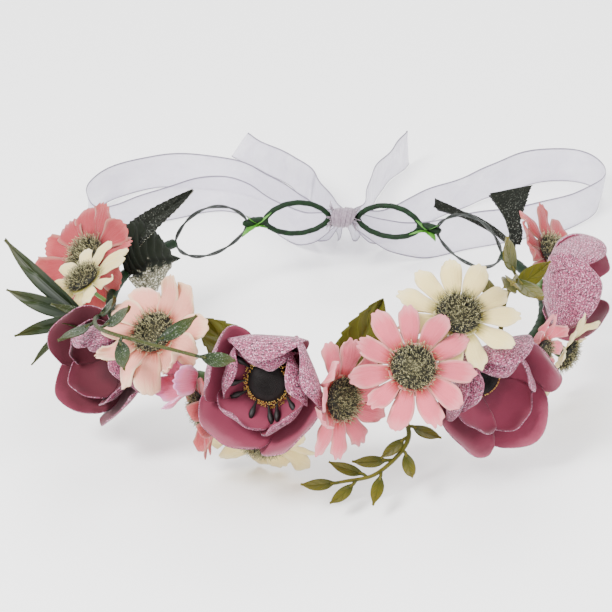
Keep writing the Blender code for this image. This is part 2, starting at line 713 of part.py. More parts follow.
def make_leaf(name, half_width, stops, way):
    face = facing(*way)
    skip = {"band_wire"}
    for lift in (0, 2, -2, 4, -4, 6, -6, 9, -9, 12, -12):
        raised = [(angle, out, rise + lift * 0.001 * index / (len(stops) - 1))
                  for index, (angle, out, rise) in enumerate(stops)]
        route = smooth_route([ring_point(*stop) for stop in raised], LEAF_STEPS)
        grid = leaf_grid(route, leaf_widths(len(route), half_width), face)
        if is_clear([grid], skip):
            break
    bm = bmesh.new()
    first = [bm.verts.new(place) for place in grid[0]]
    chain = [bm.edges.new(pair) for pair in zip(first, first[1:])]
    for row in grid[1:]:
        chain = extrude_row(bm, chain, row)
    remember(cloth_object(name, bm, "leaf_olive" if "olive" in name else "leaf_dark"))


def leaflet_grid(edge, outwards, ahead, face, length, half_width):
    """Two rows and a tip beyond one edge of the stem strip."""
    base = (edge[0] + edge[1]) / 2
    way = (outwards * 0.62 + ahead * 0.78).normalized()
    across = (edge[1] - edge[0]).normalized()
    broad = way.cross(face).normalized()
    if broad.dot(across) < 0:
        broad = -broad
    grid = [list(edge)]
    for s, wide in ((0.40, 1.0), (0.75, 0.8), (1.0, 0.12)):
        middle = base + way * length * s + face * length * 0.22 * s * s
        grid.append([middle - broad * half_width * wide, middle + broad * half_width * wide])
    return grid


def make_sprig(name, stops, count, length, half_width, way):
    """A stem strip with a leaflet out of every other edge, left and right in turn, and one at the tip."""
    face = facing(*way)
    steps = math.ceil((2 * count + 2) / (len(stops) - 1))
    for lift in (0, 2, -2, 4, -4, 7, 10):
        raised = [(angle, out, rise + lift * 0.001 * index / (len(stops) - 1))
                  for index, (angle, out, rise) in enumerate(stops)]
        route = smooth_route([ring_point(*stop) for stop in raised], steps)
        strip = []
        for index, place in enumerate(route):
            ahead = route[min(index + 1, len(route) - 1)] - route[max(index - 1, 0)]
            across = ahead.cross(face).normalized()
            strip.append((place - across * SPRIG_STEM, place + across * SPRIG_STEM,
                          across, ahead.normalized()))
        leaflets = []
        first = len(strip) - 2 * count
        for k in range(count - 1):
            index = first + 2 * k
            side = k % 2
            low, high = strip[index], strip[index + 1]
            edge = (low[side], high[side])
            outwards = low[2] * (1 if side else -1)
            leaflets.append((side, index, leaflet_grid(edge, outwards, low[3], face, length, half_width)))
        end = strip[-1]
        tip = leaflet_grid((end[0], end[1]), end[3], end[3], face, length, half_width)
        grids = [grid for _, _, grid in leaflets] + [tip, [[left, right] for left, right, _, _ in strip]]
        if is_clear(grids, {"band_wire"}):
            break
    bm = bmesh.new()
    pair = [bm.verts.new(strip[0][0]), bm.verts.new(strip[0][1])]
    chain = [bm.edges.new(pair)]
    for left, right, _, _ in strip[1:]:
        chain = extrude_row(bm, chain, [left, right])
    for row in tip[1:]:
        chain = extrude_row(bm, chain, row)
    for side, index, grid in leaflets:
        edge = next(e for e in bm.edges
                    if {round_place(v.co) for v in e.verts} == {round_place(p) for p in grid[0]})
        chain = [edge]
        for row in grid[1:]:
            chain = extrude_row(bm, chain, row)
    remember(cloth_object(name, bm, "leaf_olive"))


def round_place(place):
    return tuple(round(value, 6) for value in place)


def make_spray(name, stalk, tips, way):
    """Blades that fan out from one stalk, as one piece that can be bent at its root."""
    face = facing(*way)
    base = [ring_point(*stop) for stop in stalk]
    ahead = (base[-1] - base[0]).normalized()
    ends = [ring_point(*tip) for tip, _, _ in tips]
    across = ahead.cross(face).normalized()
    order = sorted(range(len(tips)), key=lambda k: (ends[k] - base[-1]).normalized().dot(across))
    places = [SPRAY_PITCH * (k - len(tips) / 2) for k in range(len(tips) + 1)]
    rim = [base[-1] + across * place for place in places]
    foot = [base[0] + across * 0.6 * place for place in places]
    bm = bmesh.new()
    first = [bm.verts.new(place) for place in foot]
    chain = [bm.edges.new(pair) for pair in zip(first, first[1:])]
    chain = extrude_row(bm, chain, rim)
    chain.sort(key=lambda edge: ((edge.verts[0].co + edge.verts[1].co) / 2).dot(across))
    for edge, k in zip(chain, order):
        _, half_width, tip_width = tips[k]
        low, high = sorted((vertex.co.copy() for vertex in edge.verts), key=lambda p: p.dot(across))
        middle = (low + high) / 2
        blade = [edge]
        for s in (0.25, 0.5, 0.75, 1.0):
            arch = face * SPRAY_ARCH * (ends[k] - middle).length * math.sin(math.pi * s)
            place = middle.lerp(ends[k], s) + arch
            broad = (ends[k] - middle).cross(face).normalized()
            belly = math.sin(math.pi * min(1.0, 0.15 + 0.8 * s)) * half_width
            wide = max(tip_width * s, belly if s < 1 else 0.0)
            blade = extrude_row(bm, blade, [place - broad * wide, place + broad * wide])
    pivot = ring_point(stalk[0][0])
    made = cloth_object(name, bm, "leaf_dark" if "strap" in name else "leaf_olive", pivot)
    remember(made, (0.0, -LEAF_BEND, LEAF_BEND), pivot, Vector((0, 0, 1)))


def make_leaves():
    for name, spec in LEAVES.items():
        make_leaf(name, *spec)
    for name, spec in SPRAYS.items():
        make_spray(name, *spec)
    for name, spec in SPRIGS.items():
        make_sprig(name, *spec)


# ---- the whole crown -----------------------------------------------------------------------------------
def stand_on_origin():
    """Moves everything so that the middle of the crown's box is over the origin and its foot on it."""
    low, high = Vector((9, 9, 9)), Vector((-9, -9, -9))
    for made in crown.objects:
        if made.type == "EMPTY":
            continue
        for point in surfaces_of(made)[0]:
            for axis in range(3):
                low[axis] = min(low[axis], point[axis])
                high[axis] = max(high[axis], point[axis])
    root.location = (-(low.x + high.x) / 2, -(low.y + high.y) / 2, -low.z)
    bpy.context.view_layer.update()
    print("band centre", [round(value, 5) for value in root.location])
    print("knot", [round(value, 5) for value in root.location + knot_axis_place()])
    for name, spec in SPRAYS.items():
        print(name, "root", [round(value, 5) for value in root.location + ring_point(spec[0][0][0])])
    print("box", [round(value, 4) for value in high - low])


clear_scene()
crown = bpy.data.collections.new("flower_crown")
bpy.context.scene.collection.children.link(crown)
root = bpy.data.objects.new("crown_root", None)
crown.objects.link(root)

make_band()
make_back_frame()
make_knot()
make_bow()
flower_frames = make_flowers()
make_leaves()
make_all_petals(flower_frames)
stand_on_origin()
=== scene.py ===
# %% [markdown]
# The imported solids are loaded before anything else, because every size and place below is
# worked out from them.

# %% Load the crown's solids
import bpy
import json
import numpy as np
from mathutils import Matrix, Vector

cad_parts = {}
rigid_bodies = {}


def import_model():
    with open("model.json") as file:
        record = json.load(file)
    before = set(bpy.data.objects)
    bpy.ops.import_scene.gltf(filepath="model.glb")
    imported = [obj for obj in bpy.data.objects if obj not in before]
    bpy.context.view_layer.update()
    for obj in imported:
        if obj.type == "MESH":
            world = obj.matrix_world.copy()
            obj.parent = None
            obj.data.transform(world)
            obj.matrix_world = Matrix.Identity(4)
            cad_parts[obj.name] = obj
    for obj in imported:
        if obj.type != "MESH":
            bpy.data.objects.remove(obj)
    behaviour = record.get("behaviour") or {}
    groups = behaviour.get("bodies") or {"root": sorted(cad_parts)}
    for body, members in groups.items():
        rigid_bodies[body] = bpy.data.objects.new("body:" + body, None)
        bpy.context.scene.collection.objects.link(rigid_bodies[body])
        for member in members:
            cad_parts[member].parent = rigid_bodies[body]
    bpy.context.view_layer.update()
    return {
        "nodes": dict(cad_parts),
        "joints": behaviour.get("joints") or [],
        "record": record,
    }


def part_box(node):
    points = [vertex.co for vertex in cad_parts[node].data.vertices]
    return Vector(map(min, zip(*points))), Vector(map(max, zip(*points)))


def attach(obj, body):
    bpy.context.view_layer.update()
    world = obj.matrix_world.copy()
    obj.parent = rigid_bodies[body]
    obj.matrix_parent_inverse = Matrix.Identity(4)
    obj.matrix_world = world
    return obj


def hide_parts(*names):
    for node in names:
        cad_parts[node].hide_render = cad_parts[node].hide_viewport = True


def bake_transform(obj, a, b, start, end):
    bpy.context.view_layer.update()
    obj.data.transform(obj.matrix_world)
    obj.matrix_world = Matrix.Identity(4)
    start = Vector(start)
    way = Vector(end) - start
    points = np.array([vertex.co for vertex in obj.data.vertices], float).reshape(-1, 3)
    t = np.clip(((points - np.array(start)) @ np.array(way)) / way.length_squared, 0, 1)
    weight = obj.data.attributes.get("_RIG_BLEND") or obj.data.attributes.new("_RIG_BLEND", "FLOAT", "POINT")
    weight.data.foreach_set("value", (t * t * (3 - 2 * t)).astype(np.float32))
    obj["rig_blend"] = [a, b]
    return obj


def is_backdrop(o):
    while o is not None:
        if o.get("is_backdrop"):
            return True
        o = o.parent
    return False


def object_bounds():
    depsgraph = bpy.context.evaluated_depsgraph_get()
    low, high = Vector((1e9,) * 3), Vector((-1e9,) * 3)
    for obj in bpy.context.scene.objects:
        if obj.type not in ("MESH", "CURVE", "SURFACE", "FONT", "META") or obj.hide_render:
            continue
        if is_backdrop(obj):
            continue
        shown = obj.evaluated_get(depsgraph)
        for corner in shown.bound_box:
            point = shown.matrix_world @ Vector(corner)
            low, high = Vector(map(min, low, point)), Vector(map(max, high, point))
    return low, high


for stray in list(bpy.data.objects):
    bpy.data.objects.remove(stray)
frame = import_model()

import json
import math
import random

import bmesh
import numpy as np
from mathutils import Matrix, Vector
from mathutils.bvhtree import BVHTree

# %% [markdown]
# A flower crown is a ring of wire wound in green tape, with silk flowers and plastic leaves
# bound to it by their own wires.  The solids already say where every petal, leaf and ribbon
# lies, but they are flat and plain.  This lesson measures each solid and lays fine cloth on
# the same place.  Measuring was chosen over typing positions again, because a change in the
# solids then carries through to the cloth.

# %% The ring that everything hangs on
MM = 0.001
joints = {joint["name"]: joint for joint in frame["joints"]}
ring_centre = Vector(frame["record"]["mounts"][0]["pos_m"])
knot_place = Vector(joints["left_loop_swing"]["pos_m"])
ring_radius = (knot_place - ring_centre).length
print("ring radius in mm", round(ring_radius / MM, 2))


def ring_angle(place):
    """Degrees round the ring: 0 in front, positive towards +X, 180 behind."""
    flat = place - ring_centre
    return math.degrees(math.atan2(flat.x, -flat.y))


def ring_point(angle, rise=0.0):
    turn = math.radians(angle)
    return ring_centre + Vector((ring_radius * math.sin(turn), -ring_radius * math.cos(turn), rise))


# %% [markdown]
# Each solid is a thin plate whose points come in rows across it.  Walking over the mesh from
# the plate's root, one edge at a time, meets the rows in order, so a breadth-first walk finds
# them without knowing how many there are.  The walk works on a welded copy, because the
# solids are stored as loose triangles.

# %% Walk over a solid
WELD = 0.01 * MM


def welded(node):
    """A copy of a solid with its loose triangles joined."""
    bm = bmesh.new()
    bm.from_mesh(frame["nodes"][node].data)
    bmesh.ops.remove_doubles(bm, verts=bm.verts[:], dist=WELD)
    bm.verts.index_update()
    return bm


def steps_from(start):
    """How many edges every point is away from the starting points."""
    steps = {vert: 0 for vert in start}
    front = sorted(start, key=lambda vert: vert.index)
    while front:
        ahead = []
        for vert in front:
            for edge in vert.link_edges:
                other = edge.other_vert(vert)
                if other not in steps:
                    steps[other] = steps[vert] + 1
                    ahead.append(other)
        front = ahead
    return steps


def ring_root(members):
    """The point that is nearest the ring's centre line."""
    return min(members, key=lambda vert: ((ring_point(ring_angle(vert.co)) - vert.co).length, vert.index))


def points_near(bm, place, reach):
    return [vert for vert in bm.verts if (vert.co - place).length < reach]


def rows_from(bm, start):
    """All points in rows, by how many edges they are away from the starting points."""
    steps = steps_from(start)
    rows = [[] for _ in range(max(steps.values()) + 1)]
    for vert in bm.verts:
        rows[steps[vert]].append(vert.co.copy())
    return rows


def limbs_beyond(steps, core):
    """Each part of the mesh past its core, as rows of points from the core to the tip."""
    waiting = sorted((vert for vert in steps if steps[vert] > core), key=lambda vert: vert.index)
    taken, found = set(), []
    for seed in waiting:
        if seed in taken:
            continue
        taken.add(seed)
        members, front = [], [seed]
        while front:
            vert = front.pop()
            members.append(vert)
            for edge in vert.link_edges:
                other = edge.other_vert(vert)
                if steps.get(other, 0) > core and other not in taken:
                    taken.add(other)
                    front.append(other)
        last = max(steps[vert] for vert in members)
        rows = [[vert.co.copy() for vert in members if steps[vert] == level]
                for level in range(core + 1, last + 1)]
        first = [vert for vert in members if steps[vert] == core + 1]
        base = dict.fromkeys(edge.other_vert(vert) for vert in first for edge in vert.link_edges)
        rows.insert(0, [vert.co.copy() for vert in base if steps[vert] == core])
        found.append([row for row in rows if row])
    return found


# %% [markdown]
# A blade is the simplest thing that describes a petal, a leaf or a stamen: a midrib, and at
# each row of points the way across, the way it faces and how wide it is.  It could be read
# from face normals, but the widest direction of each row is steadier on a thin plate.

# %% Turn rows of points into a blade
def middle_of(points):
    total = Vector((0, 0, 0))
    for point in points:
        total += point
    return total / len(points)


def curve_point(before, start, end, after, t):
    """A place between start and end, on the smooth curve through all four points."""
    return 0.5 * (2 * start + (end - before) * t + (2 * before - 5 * start + 4 * end - after) * t * t
                  + (3 * start - before - 3 * end + after) * t ** 3)


THIN_ROW = 0.6 * MM       # a row narrower than this has no sure direction
PAST_TIP = 1.15           # how far past its tip a blade may be read


class Blade:
    """A midrib with, at each row, the way across it, the way it faces and its half width."""

    def __init__(self, rows, side, front):
        rough = [middle_of(row) for row in rows]
        self.mids, self.sides, self.halves = [], [], []
        for row, centre in zip(rows, rough):
            spread = np.array([point - centre for point in row])
            way = Vector(np.linalg.svd(spread)[2][0])
            reach = max(abs((point - centre).dot(way)) for point in row)
            if reach < THIN_ROW and self.sides:
                way = self.sides[-1]
            way = way * (1 if way.dot(self.sides[-1] if self.sides else side) > 0 else -1)
            core = [point for point in row if abs((point - centre).dot(way)) < 0.3 * reach]
            self.mids.append(middle_of(core) if core else centre)
            self.sides.append(way.normalized())
            self.halves.append(reach)
        self.fronts = []
        for index, way in enumerate(self.sides):
            ahead = self.mids[min(index + 1, len(self.mids) - 1)] - self.mids[max(index - 1, 0)]
            self.fronts.append(ahead.normalized().cross(way).normalized())
        if sum(face.dot(front) for face in self.fronts[:2]) < 0:
            self.sides = [-way for way in self.sides]
            self.fronts = [-face for face in self.fronts]
        self.wide = max(self.halves)
        self.long = sum((b - a).length for a, b in zip(self.mids, self.mids[1:]))

    def at(self, share):
        """Place, way across and way it faces, at a share of the length."""
        last = len(self.mids) - 1
        spot = min(max(share, 0.0), PAST_TIP) * last
        index = min(int(spot), last - 1)
        t = spot - index
        one, two = self.mids[index], self.mids[index + 1]
        before = self.mids[index - 1] if index else one * 2 - two
        after = self.mids[index + 2] if index + 2 <= last else two * 2 - one
        place = curve_point(before, one, two, after, t)
        way = self.sides[index].lerp(self.sides[index + 1], min(t, 1.0)).normalized()
        face = self.fronts[index].lerp(self.fronts[index + 1], min(t, 1.0)).normalized()
        return place, way, face


# %% [markdown]
# A flower's petals are one solid with a hole for the stem.  The points round that hole give
# the hub and the axis, and each limb of the mesh beyond them is a petal.  A daisy faces the
# way its wide heart stands, and a cup faces the way its petals lean.

# %% Find a flower's hub, the way it faces and its petals
BORE_NEAR = 0.65 * MM     # petal points this near the stem are the edge of its hole
BORE_REACH = 2.6 * MM
HEART_LOW, HEART_HIGH = 1.0 * MM, 4.2 * MM


def read_flower(petal_node, stem_node, cupped=False):
    """The hub's centre, the axis it faces along, and one blade for each petal."""
    stem = welded(stem_node)
    tree = BVHTree.FromBMesh(stem)
    stem_points = [vert.co.copy() for vert in stem.verts]
    stem.free()
    bm = welded(petal_node)
    near = [vert for vert in bm.verts if tree.find_nearest(vert.co)[3] < BORE_NEAR]
    hub = middle_of([vert.co for vert in near])
    for _ in range(4):
        bore = [vert for vert in near if (vert.co - hub).length < BORE_REACH]
        hub = middle_of([vert.co for vert in bore])
    flat = np.array([vert.co - hub for vert in bore])
    axis = Vector(np.linalg.svd(flat)[2][2])

    def widest(sign):
        radii = [0.0]
        for point in stem_points:
            height = (point - hub).dot(axis) * sign
            if HEART_LOW < height < HEART_HIGH:
                radii.append((point - hub - axis * (height * sign)).length)
        return max(radii)

    if cupped:
        lean = middle_of([vert.co for vert in bm.verts]) - hub
        axis = axis * (1 if lean.dot(axis) > 0 else -1)
    elif widest(-1) > widest(1):
        axis = -axis
    petals = []
    for rows in limbs_beyond(steps_from(bore), 1):
        out = middle_of(rows[0]) - hub
        out = (out - axis * out.dot(axis)).normalized()
        petals.append((out, Blade(rows, axis.cross(out), axis - out * 0.7)))
    bm.free()
    up = (Vector((0, 0, 1)) - axis * axis.z).normalized()
    over = up.cross(axis)
    petals.sort(key=lambda item: round(math.atan2(item[0].dot(over), item[0].dot(up)), 3)
                % (2 * math.pi - 0.01))
    return hub, axis, [blade for _, blade in petals]


# %% [markdown]
# Colours are written as the hex values a maker would pick, and one function turns them to
# the linear values that the renderer works in.  One small function adds any node with its
# settings, values and links, which keeps every material readable from top to bottom.

# %% Colour and node helpers
def colour(hexadecimal):
    """Linear colour from an sRGB hex value."""
    parts = [int(hexadecimal[i:i + 2], 16) / 255 for i in (1, 3, 5)]
    return (*[v / 12.92 if v <= 0.04045 else ((v + 0.055) / 1.055) ** 2.4 for v in parts], 1.0)


def add_node(tree, kind, inputs=None, settings=None, out=0, stops=()):
    """Adds a node and gives one of its outputs.  An input is a value or another node's output."""
    node = tree.nodes.new("ShaderNode" + kind)
    for name, value in (settings or {}).items():
        setattr(node, name, value)
    for name, value in (inputs or {}).items():
        if isinstance(value, bpy.types.NodeSocket):
            tree.links.new(value, node.inputs[name])
        else:
            node.inputs[name].default_value = value
    ramp = node.color_ramp.elements if stops else []
    while len(ramp) < len(stops):
        ramp.new(0.5)
    for element, (place, shade) in zip(ramp, stops):
        element.position = place
        element.color = colour(shade)
    return node.outputs[out]


def start_material(name, roughness=0.8, **sockets):
    """A new material with its Principled shader, whose plain values are set on its own sockets."""
    made = bpy.data.materials.new(name)
    made.use_nodes = True
    tree = made.node_tree
    shader = tree.nodes["Principled BSDF"]
    shader.inputs["Roughness"].default_value = roughness
    for socket, value in sockets.items():
        shader.inputs[socket.replace("_", " ")].default_value = value
    return made, tree, shader


def finish_material(tree, shader, base, height=None, strength=0.5, depth=0.2 * MM):
    """Links the colour, and a bump of a real depth when a height is given."""
    tree.links.new(base, shader.inputs["Base Color"])
    if height is not None:
        bump = add_node(tree, "Bump", {"Height": height, "Strength": strength, "Distance": depth})
        tree.links.new(bump, shader.inputs["Normal"])


ALONG, ACROSS, TONE = ({"attribute_name": name} for name in ("along", "across", "tone"))
ADD, MULTIPLY, MULTIPLY_ADD = ({"operation": name} for name in ("ADD", "MULTIPLY", "MULTIPLY_ADD"))
ABSOLUTE, MAXIMUM, PINGPONG = ({"operation": name} for name in ("ABSOLUTE", "MAXIMUM", "PINGPONG"))
RGBA = {"data_type": "RGBA"}

# %% [markdown]
# The daisies are heat-pressed polyester cloth, dyed in the roll and airbrushed from the
# middle out.  So the colour runs from the heart to the tip, with faint streaks along the
# petal where it was pressed over a ribbed tool.  The petals carry their own "along",
# "across" and "tone" values, and the material reads those, so the pattern follows each
# petal however it curls.

# %% Pressed petal cloth
THREAD_MM = 0.9      # drawn coarser than the real 0.2 mm thread, so that it shows
DAISY_MM = 16.0


def petal_cloth(name, heart, body, tip, edge):
    made, tree, shader = start_material(name, 0.82, Sheen_Weight=0.25, Sheen_Roughness=0.4,
                                        Subsurface_Weight=0.12, Subsurface_Scale=1.5 * MM)
    shader.inputs["Subsurface Radius"].default_value = (1.0, 0.6, 0.5)
    along = add_node(tree, "Attribute", settings=ALONG, out="Fac")
    across = add_node(tree, "Attribute", settings=ACROSS, out="Fac")
    tone = add_node(tree, "Attribute", settings=TONE, out="Fac")
    far = add_node(tree, "Math", {0: tone, 1: 31.0}, MULTIPLY)
    lay = add_node(tree, "CombineXYZ", {"X": across, "Y": along, "Z": far})
    ribs = add_node(tree, "Mapping", {"Vector": lay, "Scale": (5.0, 0.7, 1.0)})
    streak = add_node(tree, "TexNoise", {"Vector": ribs, "Scale": 1.6, "Detail": 3.0})
    shift = add_node(tree, "Math", {0: streak, 1: 0.34, 2: -0.17}, MULTIPLY_ADD)
    reach = add_node(tree, "Math", {0: along, 1: shift}, ADD)
    wash = add_node(tree, "ValToRGB", {"Fac": reach},
                    stops=[(0.02, heart), (0.30, body), (0.70, body), (0.98, tip)])
    side = add_node(tree, "Math", {0: across}, ABSOLUTE)
    rim = add_node(tree, "MapRange", {"Value": side, "From Min": 0.72, "From Max": 1.0, "To Max": 0.75})
    dyed = add_node(tree, "Mix", {"Factor": rim, "A": wash, "B": colour(edge)}, RGBA, out="Result")
    light = add_node(tree, "MapRange", {"Value": tone, "To Min": 0.86, "To Max": 1.08})
    base = add_node(tree, "HueSaturation", {"Color": dyed, "Value": light})
    threads = add_node(tree, "Mapping", {"Vector": lay, "Scale": (9.0, DAISY_MM / THREAD_MM, 1.0)})
    weave = add_node(tree, "TexNoise", {"Vector": threads, "Scale": 1.4, "Detail": 1.0})
    height = add_node(tree, "Math", {0: weave, 1: 0.35, 2: streak}, MULTIPLY_ADD)
    finish_material(tree, shader, base, height, 0.7, 0.6 * MM)
    return made


petal_materials = {
    "pink": petal_cloth("pressed_cloth_pink", "#A02A20", "#C65866", "#CE7C82", "#CA9088"),
    "cream": petal_cloth("pressed_cloth_cream", "#8E8330", "#D8C384", "#DCCB98", "#D6C695"),
    "peach": petal_cloth("pressed_cloth_peach", "#A84E36", "#D68F7C", "#DDB493", "#DCC7A0"),
    "salmon": petal_cloth("pressed_cloth_salmon", "#6E0E12", "#8E2B31", "#A04645", "#9C7363"),
    "violet": petal_cloth("pressed_cloth_violet", "#B72850", "#CF6B89", "#C278A3", "#CA99B1"),
}
print("petal cloths", sorted(petal_materials))

# %% [markdown]
# The anemones are cut from a bonded cloth: matt mauve suede inside, and outside a pink weave
# with metal film, which throws back tiny white and dark points.  Those points are painted
# glints and painted dark reflections: small cells, each light or dark by chance, are painted
# into the base colour and read as that sparkle from any side.  Fine rows across the petal are
# the weave.

# %% Bonded anemone cloth
PAINTED_GLINT_MM = 0.33    # one film flake, drawn larger than it is so that it shows


def suede_cloth(name, deep, body, rim_shade):
    made, tree, shader = start_material(name, 0.86, Sheen_Weight=0.35, Sheen_Roughness=0.35)
    along = add_node(tree, "Attribute", settings=ALONG, out="Fac")
    place = add_node(tree, "TexCoord", out="Object")
    cloud = add_node(tree, "TexNoise", {"Vector": place, "Scale": 110.0, "Detail": 3.0})
    shift = add_node(tree, "Math", {0: cloud, 1: 0.5, 2: -0.25}, MULTIPLY_ADD)
    reach = add_node(tree, "Math", {0: along, 1: shift}, ADD)
    base = add_node(tree, "ValToRGB", {"Fac": reach},
                    stops=[(0.0, deep), (0.42, body), (0.80, body), (1.0, rim_shade)])
    nap = add_node(tree, "TexNoise", {"Vector": place, "Scale": 1800.0, "Detail": 1.0})
    finish_material(tree, shader, base, nap, 0.35, 0.15 * MM)
    return made


def film_cloth_painted_glints(name, body, dark, bright):
    made, tree, shader = start_material(name, 0.5, Sheen_Weight=0.2)
    place = add_node(tree, "TexCoord", out="Object")
    # Painted glints and painted dark reflections: each cell's chance value picks near-black, pink or
    # near-white for the base colour.
    cells = add_node(tree, "TexVoronoi", {"Vector": place, "Scale": 1 / (PAINTED_GLINT_MM * MM)}, out="Color")
    chance = add_node(tree, "SeparateColor", {"Color": cells})
    painted_glint_flakes = add_node(tree, "ValToRGB", {"Fac": chance},
                      stops=[(0.16, dark), (0.30, body), (0.74, body), (0.95, bright)])
    along = add_node(tree, "Attribute", settings=ALONG, out="Fac")
    across = add_node(tree, "Attribute", settings=ACROSS, out="Fac")
    lay = add_node(tree, "CombineXYZ", {"X": across, "Y": along})
    rows = add_node(tree, "TexWave", {"Vector": lay, "Scale": 7.5, "Distortion": 1.2},
                    {"bands_direction": "Y"}, out="Fac")
    shade = add_node(tree, "MapRange", {"Value": rows, "To Min": 0.62, "To Max": 1.12})
    base = add_node(tree, "HueSaturation", {"Color": painted_glint_flakes, "Value": shade})
    gloss = add_node(tree, "MapRange", {"Value": chance, "From Min": 0.6, "From Max": 0.9,
                                        "To Min": 0.7, "To Max": 0.3})
    tree.links.new(gloss, shader.inputs["Roughness"])
    height = add_node(tree, "Math", {0: rows, 1: 0.6, 2: chance}, MULTIPLY_ADD)
    finish_material(tree, shader, base, height, 0.6, 0.25 * MM)
    return made


mauve_suede = suede_cloth("mauve_suede", "#450D22", "#7C2B42", "#914458")
burgundy_suede = suede_cloth("burgundy_suede", "#2B0410", "#4E0C1E", "#641C30")
pink_film = film_cloth_painted_glints("pink_film_weave_painted_glints", "#8E3A5B", "#220815", "#D09DB3")

# %% [markdown]
# A daisy's heart is a tuft of short curled plastic threads, pale at their ends, with painted
# shade at their roots where they are packed.  An anemone's heart and stamens are flocked, which
# drinks the light, and its grit is gold-coloured.  Each of these only needs a colour that runs
# from root to tip.

# %% Threads, dark hearts, grit and stems
def plain_along(name, stops, roughness, tone_low=0.75, tone_high=1.2, **sockets):
    """A finish whose colour runs from root to tip, a little lighter or darker on each piece."""
    made, tree, shader = start_material(name, roughness, **sockets)
    along = add_node(tree, "Attribute", settings=ALONG, out="Fac")
    tone = add_node(tree, "Attribute", settings=TONE, out="Fac")
    wash = add_node(tree, "ValToRGB", {"Fac": along}, stops=stops)
    light = add_node(tree, "MapRange", {"Value": tone, "To Min": tone_low, "To Max": tone_high})
    base = add_node(tree, "HueSaturation", {"Color": wash, "Value": light})
    finish_material(tree, shader, base)
    return made


# The threads' near-black roots are painted shade where they are packed; their pale tips are the threads' own
# khaki.
tuft_painted_root_shade = plain_along("khaki_thread_painted_root_shade",
                          [(0.0, "#070804"), (0.55, "#1F1F10"), (1.0, "#A39C70")], 0.7, 0.35, 1.6)
heart_dark = plain_along("flocked_dark_heart", [(0.0, "#050101"), (1.0, "#0D0403")], 0.85)
stamen_dark = plain_along("flocked_stamen", [(0.0, "#110704"), (0.7, "#090303"), (1.0, "#0B0404")], 0.6)
gold_grit = plain_along("gold_grit", [(0.0, "#B8791E"), (1.0, "#FFE08A")], 0.3, 0.7, 1.5, Metallic=0.8)
sepal_green = plain_along("moulded_green_stem", [(0.0, "#274A1E"), (1.0, "#5B7A2C")], 0.5, 0.85, 1.1)

# %% [markdown]
# The leaves are moulded plastic or flocked velvet.  Both show a midrib with veins that rise
# from it, and some are frosted or dusted with silver.  The veins follow each leaf's own
# "along" and "across" values, so they bend with it.

# %% Leaf finishes
def leaf_plastic(name, root, body, tip, vein, frost=0.0, veins=7.0, roughness=0.45):
    """A leaf with a midrib, veins that rise from it, and frost brushed on, most near the root."""
    made, tree, shader = start_material(name, roughness, Specular_IOR_Level=0.25)
    along = add_node(tree, "Attribute", settings=ALONG, out="Fac")
    across = add_node(tree, "Attribute", settings=ACROSS, out="Fac")
    side = add_node(tree, "Math", {0: across}, ABSOLUTE)
    place = add_node(tree, "TexCoord", out="Object")
    cloud = add_node(tree, "TexNoise", {"Vector": place, "Scale": 160.0, "Detail": 3.0})
    shift = add_node(tree, "Math", {0: cloud, 1: 0.6, 2: -0.3}, MULTIPLY_ADD)
    reach = add_node(tree, "Math", {0: along, 1: shift}, ADD)
    wash = add_node(tree, "ValToRGB", {"Fac": reach}, stops=[(0.0, root), (0.45, body), (1.0, tip)])
    line = add_node(tree, "Math", {0: side, 1: -0.28, 2: along}, MULTIPLY_ADD)
    comb = add_node(tree, "Math", {0: line, 1: veins}, MULTIPLY)
    tooth = add_node(tree, "Math", {0: comb, 1: 0.5}, PINGPONG)
    branch = add_node(tree, "MapRange", {"Value": tooth, "From Max": 0.11, "To Min": 1.0, "To Max": 0.0})
    rib = add_node(tree, "MapRange", {"Value": side, "From Min": 0.03, "From Max": 0.11,
                                      "To Min": 1.0, "To Max": 0.0})
    ribs = add_node(tree, "Math", {0: branch, 1: rib}, MAXIMUM)
    drawn = add_node(tree, "Math", {0: ribs, 1: 0.6}, MULTIPLY)
    base = add_node(tree, "Mix", {"Factor": drawn, "A": wash, "B": colour(vein)}, RGBA, out="Result")
    if frost:
        grit = add_node(tree, "TexNoise", {"Vector": place, "Scale": 1500.0, "Detail": 2.0})
        speck = add_node(tree, "MapRange", {"Value": grit, "From Min": 0.57, "From Max": 0.66,
                                            "To Max": frost})
        near_root = add_node(tree, "MapRange", {"Value": along, "From Min": 0.35, "From Max": 0.9,
                                                "To Min": 1.0, "To Max": 0.25})
        brushed = add_node(tree, "Math", {0: speck, 1: near_root}, MULTIPLY)
        base = add_node(tree, "Mix", {"Factor": brushed, "A": base, "B": colour("#E9EEE0")},
                        RGBA, out="Result")
    finish_material(tree, shader, base, ribs, 0.6, 0.35 * MM)
    return made


DUST_EDGE = 0.1      # share of the half width where the dust begins


def dust_one_side(finish):
    """Silver dust brushed on a leaf past its midrib."""
    tree = finish.node_tree
    shader = tree.nodes["Principled BSDF"]
    plain = shader.inputs["Base Color"].links[0].from_socket
    across = add_node(tree, "Attribute", settings=ACROSS, out="Fac")
    place = add_node(tree, "TexCoord", out="Object")
    cloud = add_node(tree, "TexNoise", {"Vector": place, "Scale": 240.0, "Detail": 6.0})
    shift = add_node(tree, "Math", {0: cloud, 1: 1.2, 2: -0.6}, MULTIPLY_ADD)
    where = add_node(tree, "Math", {0: across, 1: shift}, ADD)
    dust = add_node(tree, "MapRange", {"Value": where, "From Min": DUST_EDGE, "From Max": DUST_EDGE + 0.2})
    grit = add_node(tree, "TexNoise", {"Vector": place, "Scale": 1300.0, "Detail": 1.0})
    silver = add_node(tree, "ValToRGB", {"Fac": grit},
                      stops=[(0.35, "#4D4D40"), (0.55, "#7C7966"), (0.68, "#D9D6C6")])
    base = add_node(tree, "Mix", {"Factor": dust, "A": plain, "B": silver}, RGBA, out="Result")
    tree.links.new(base, shader.inputs["Base Color"])


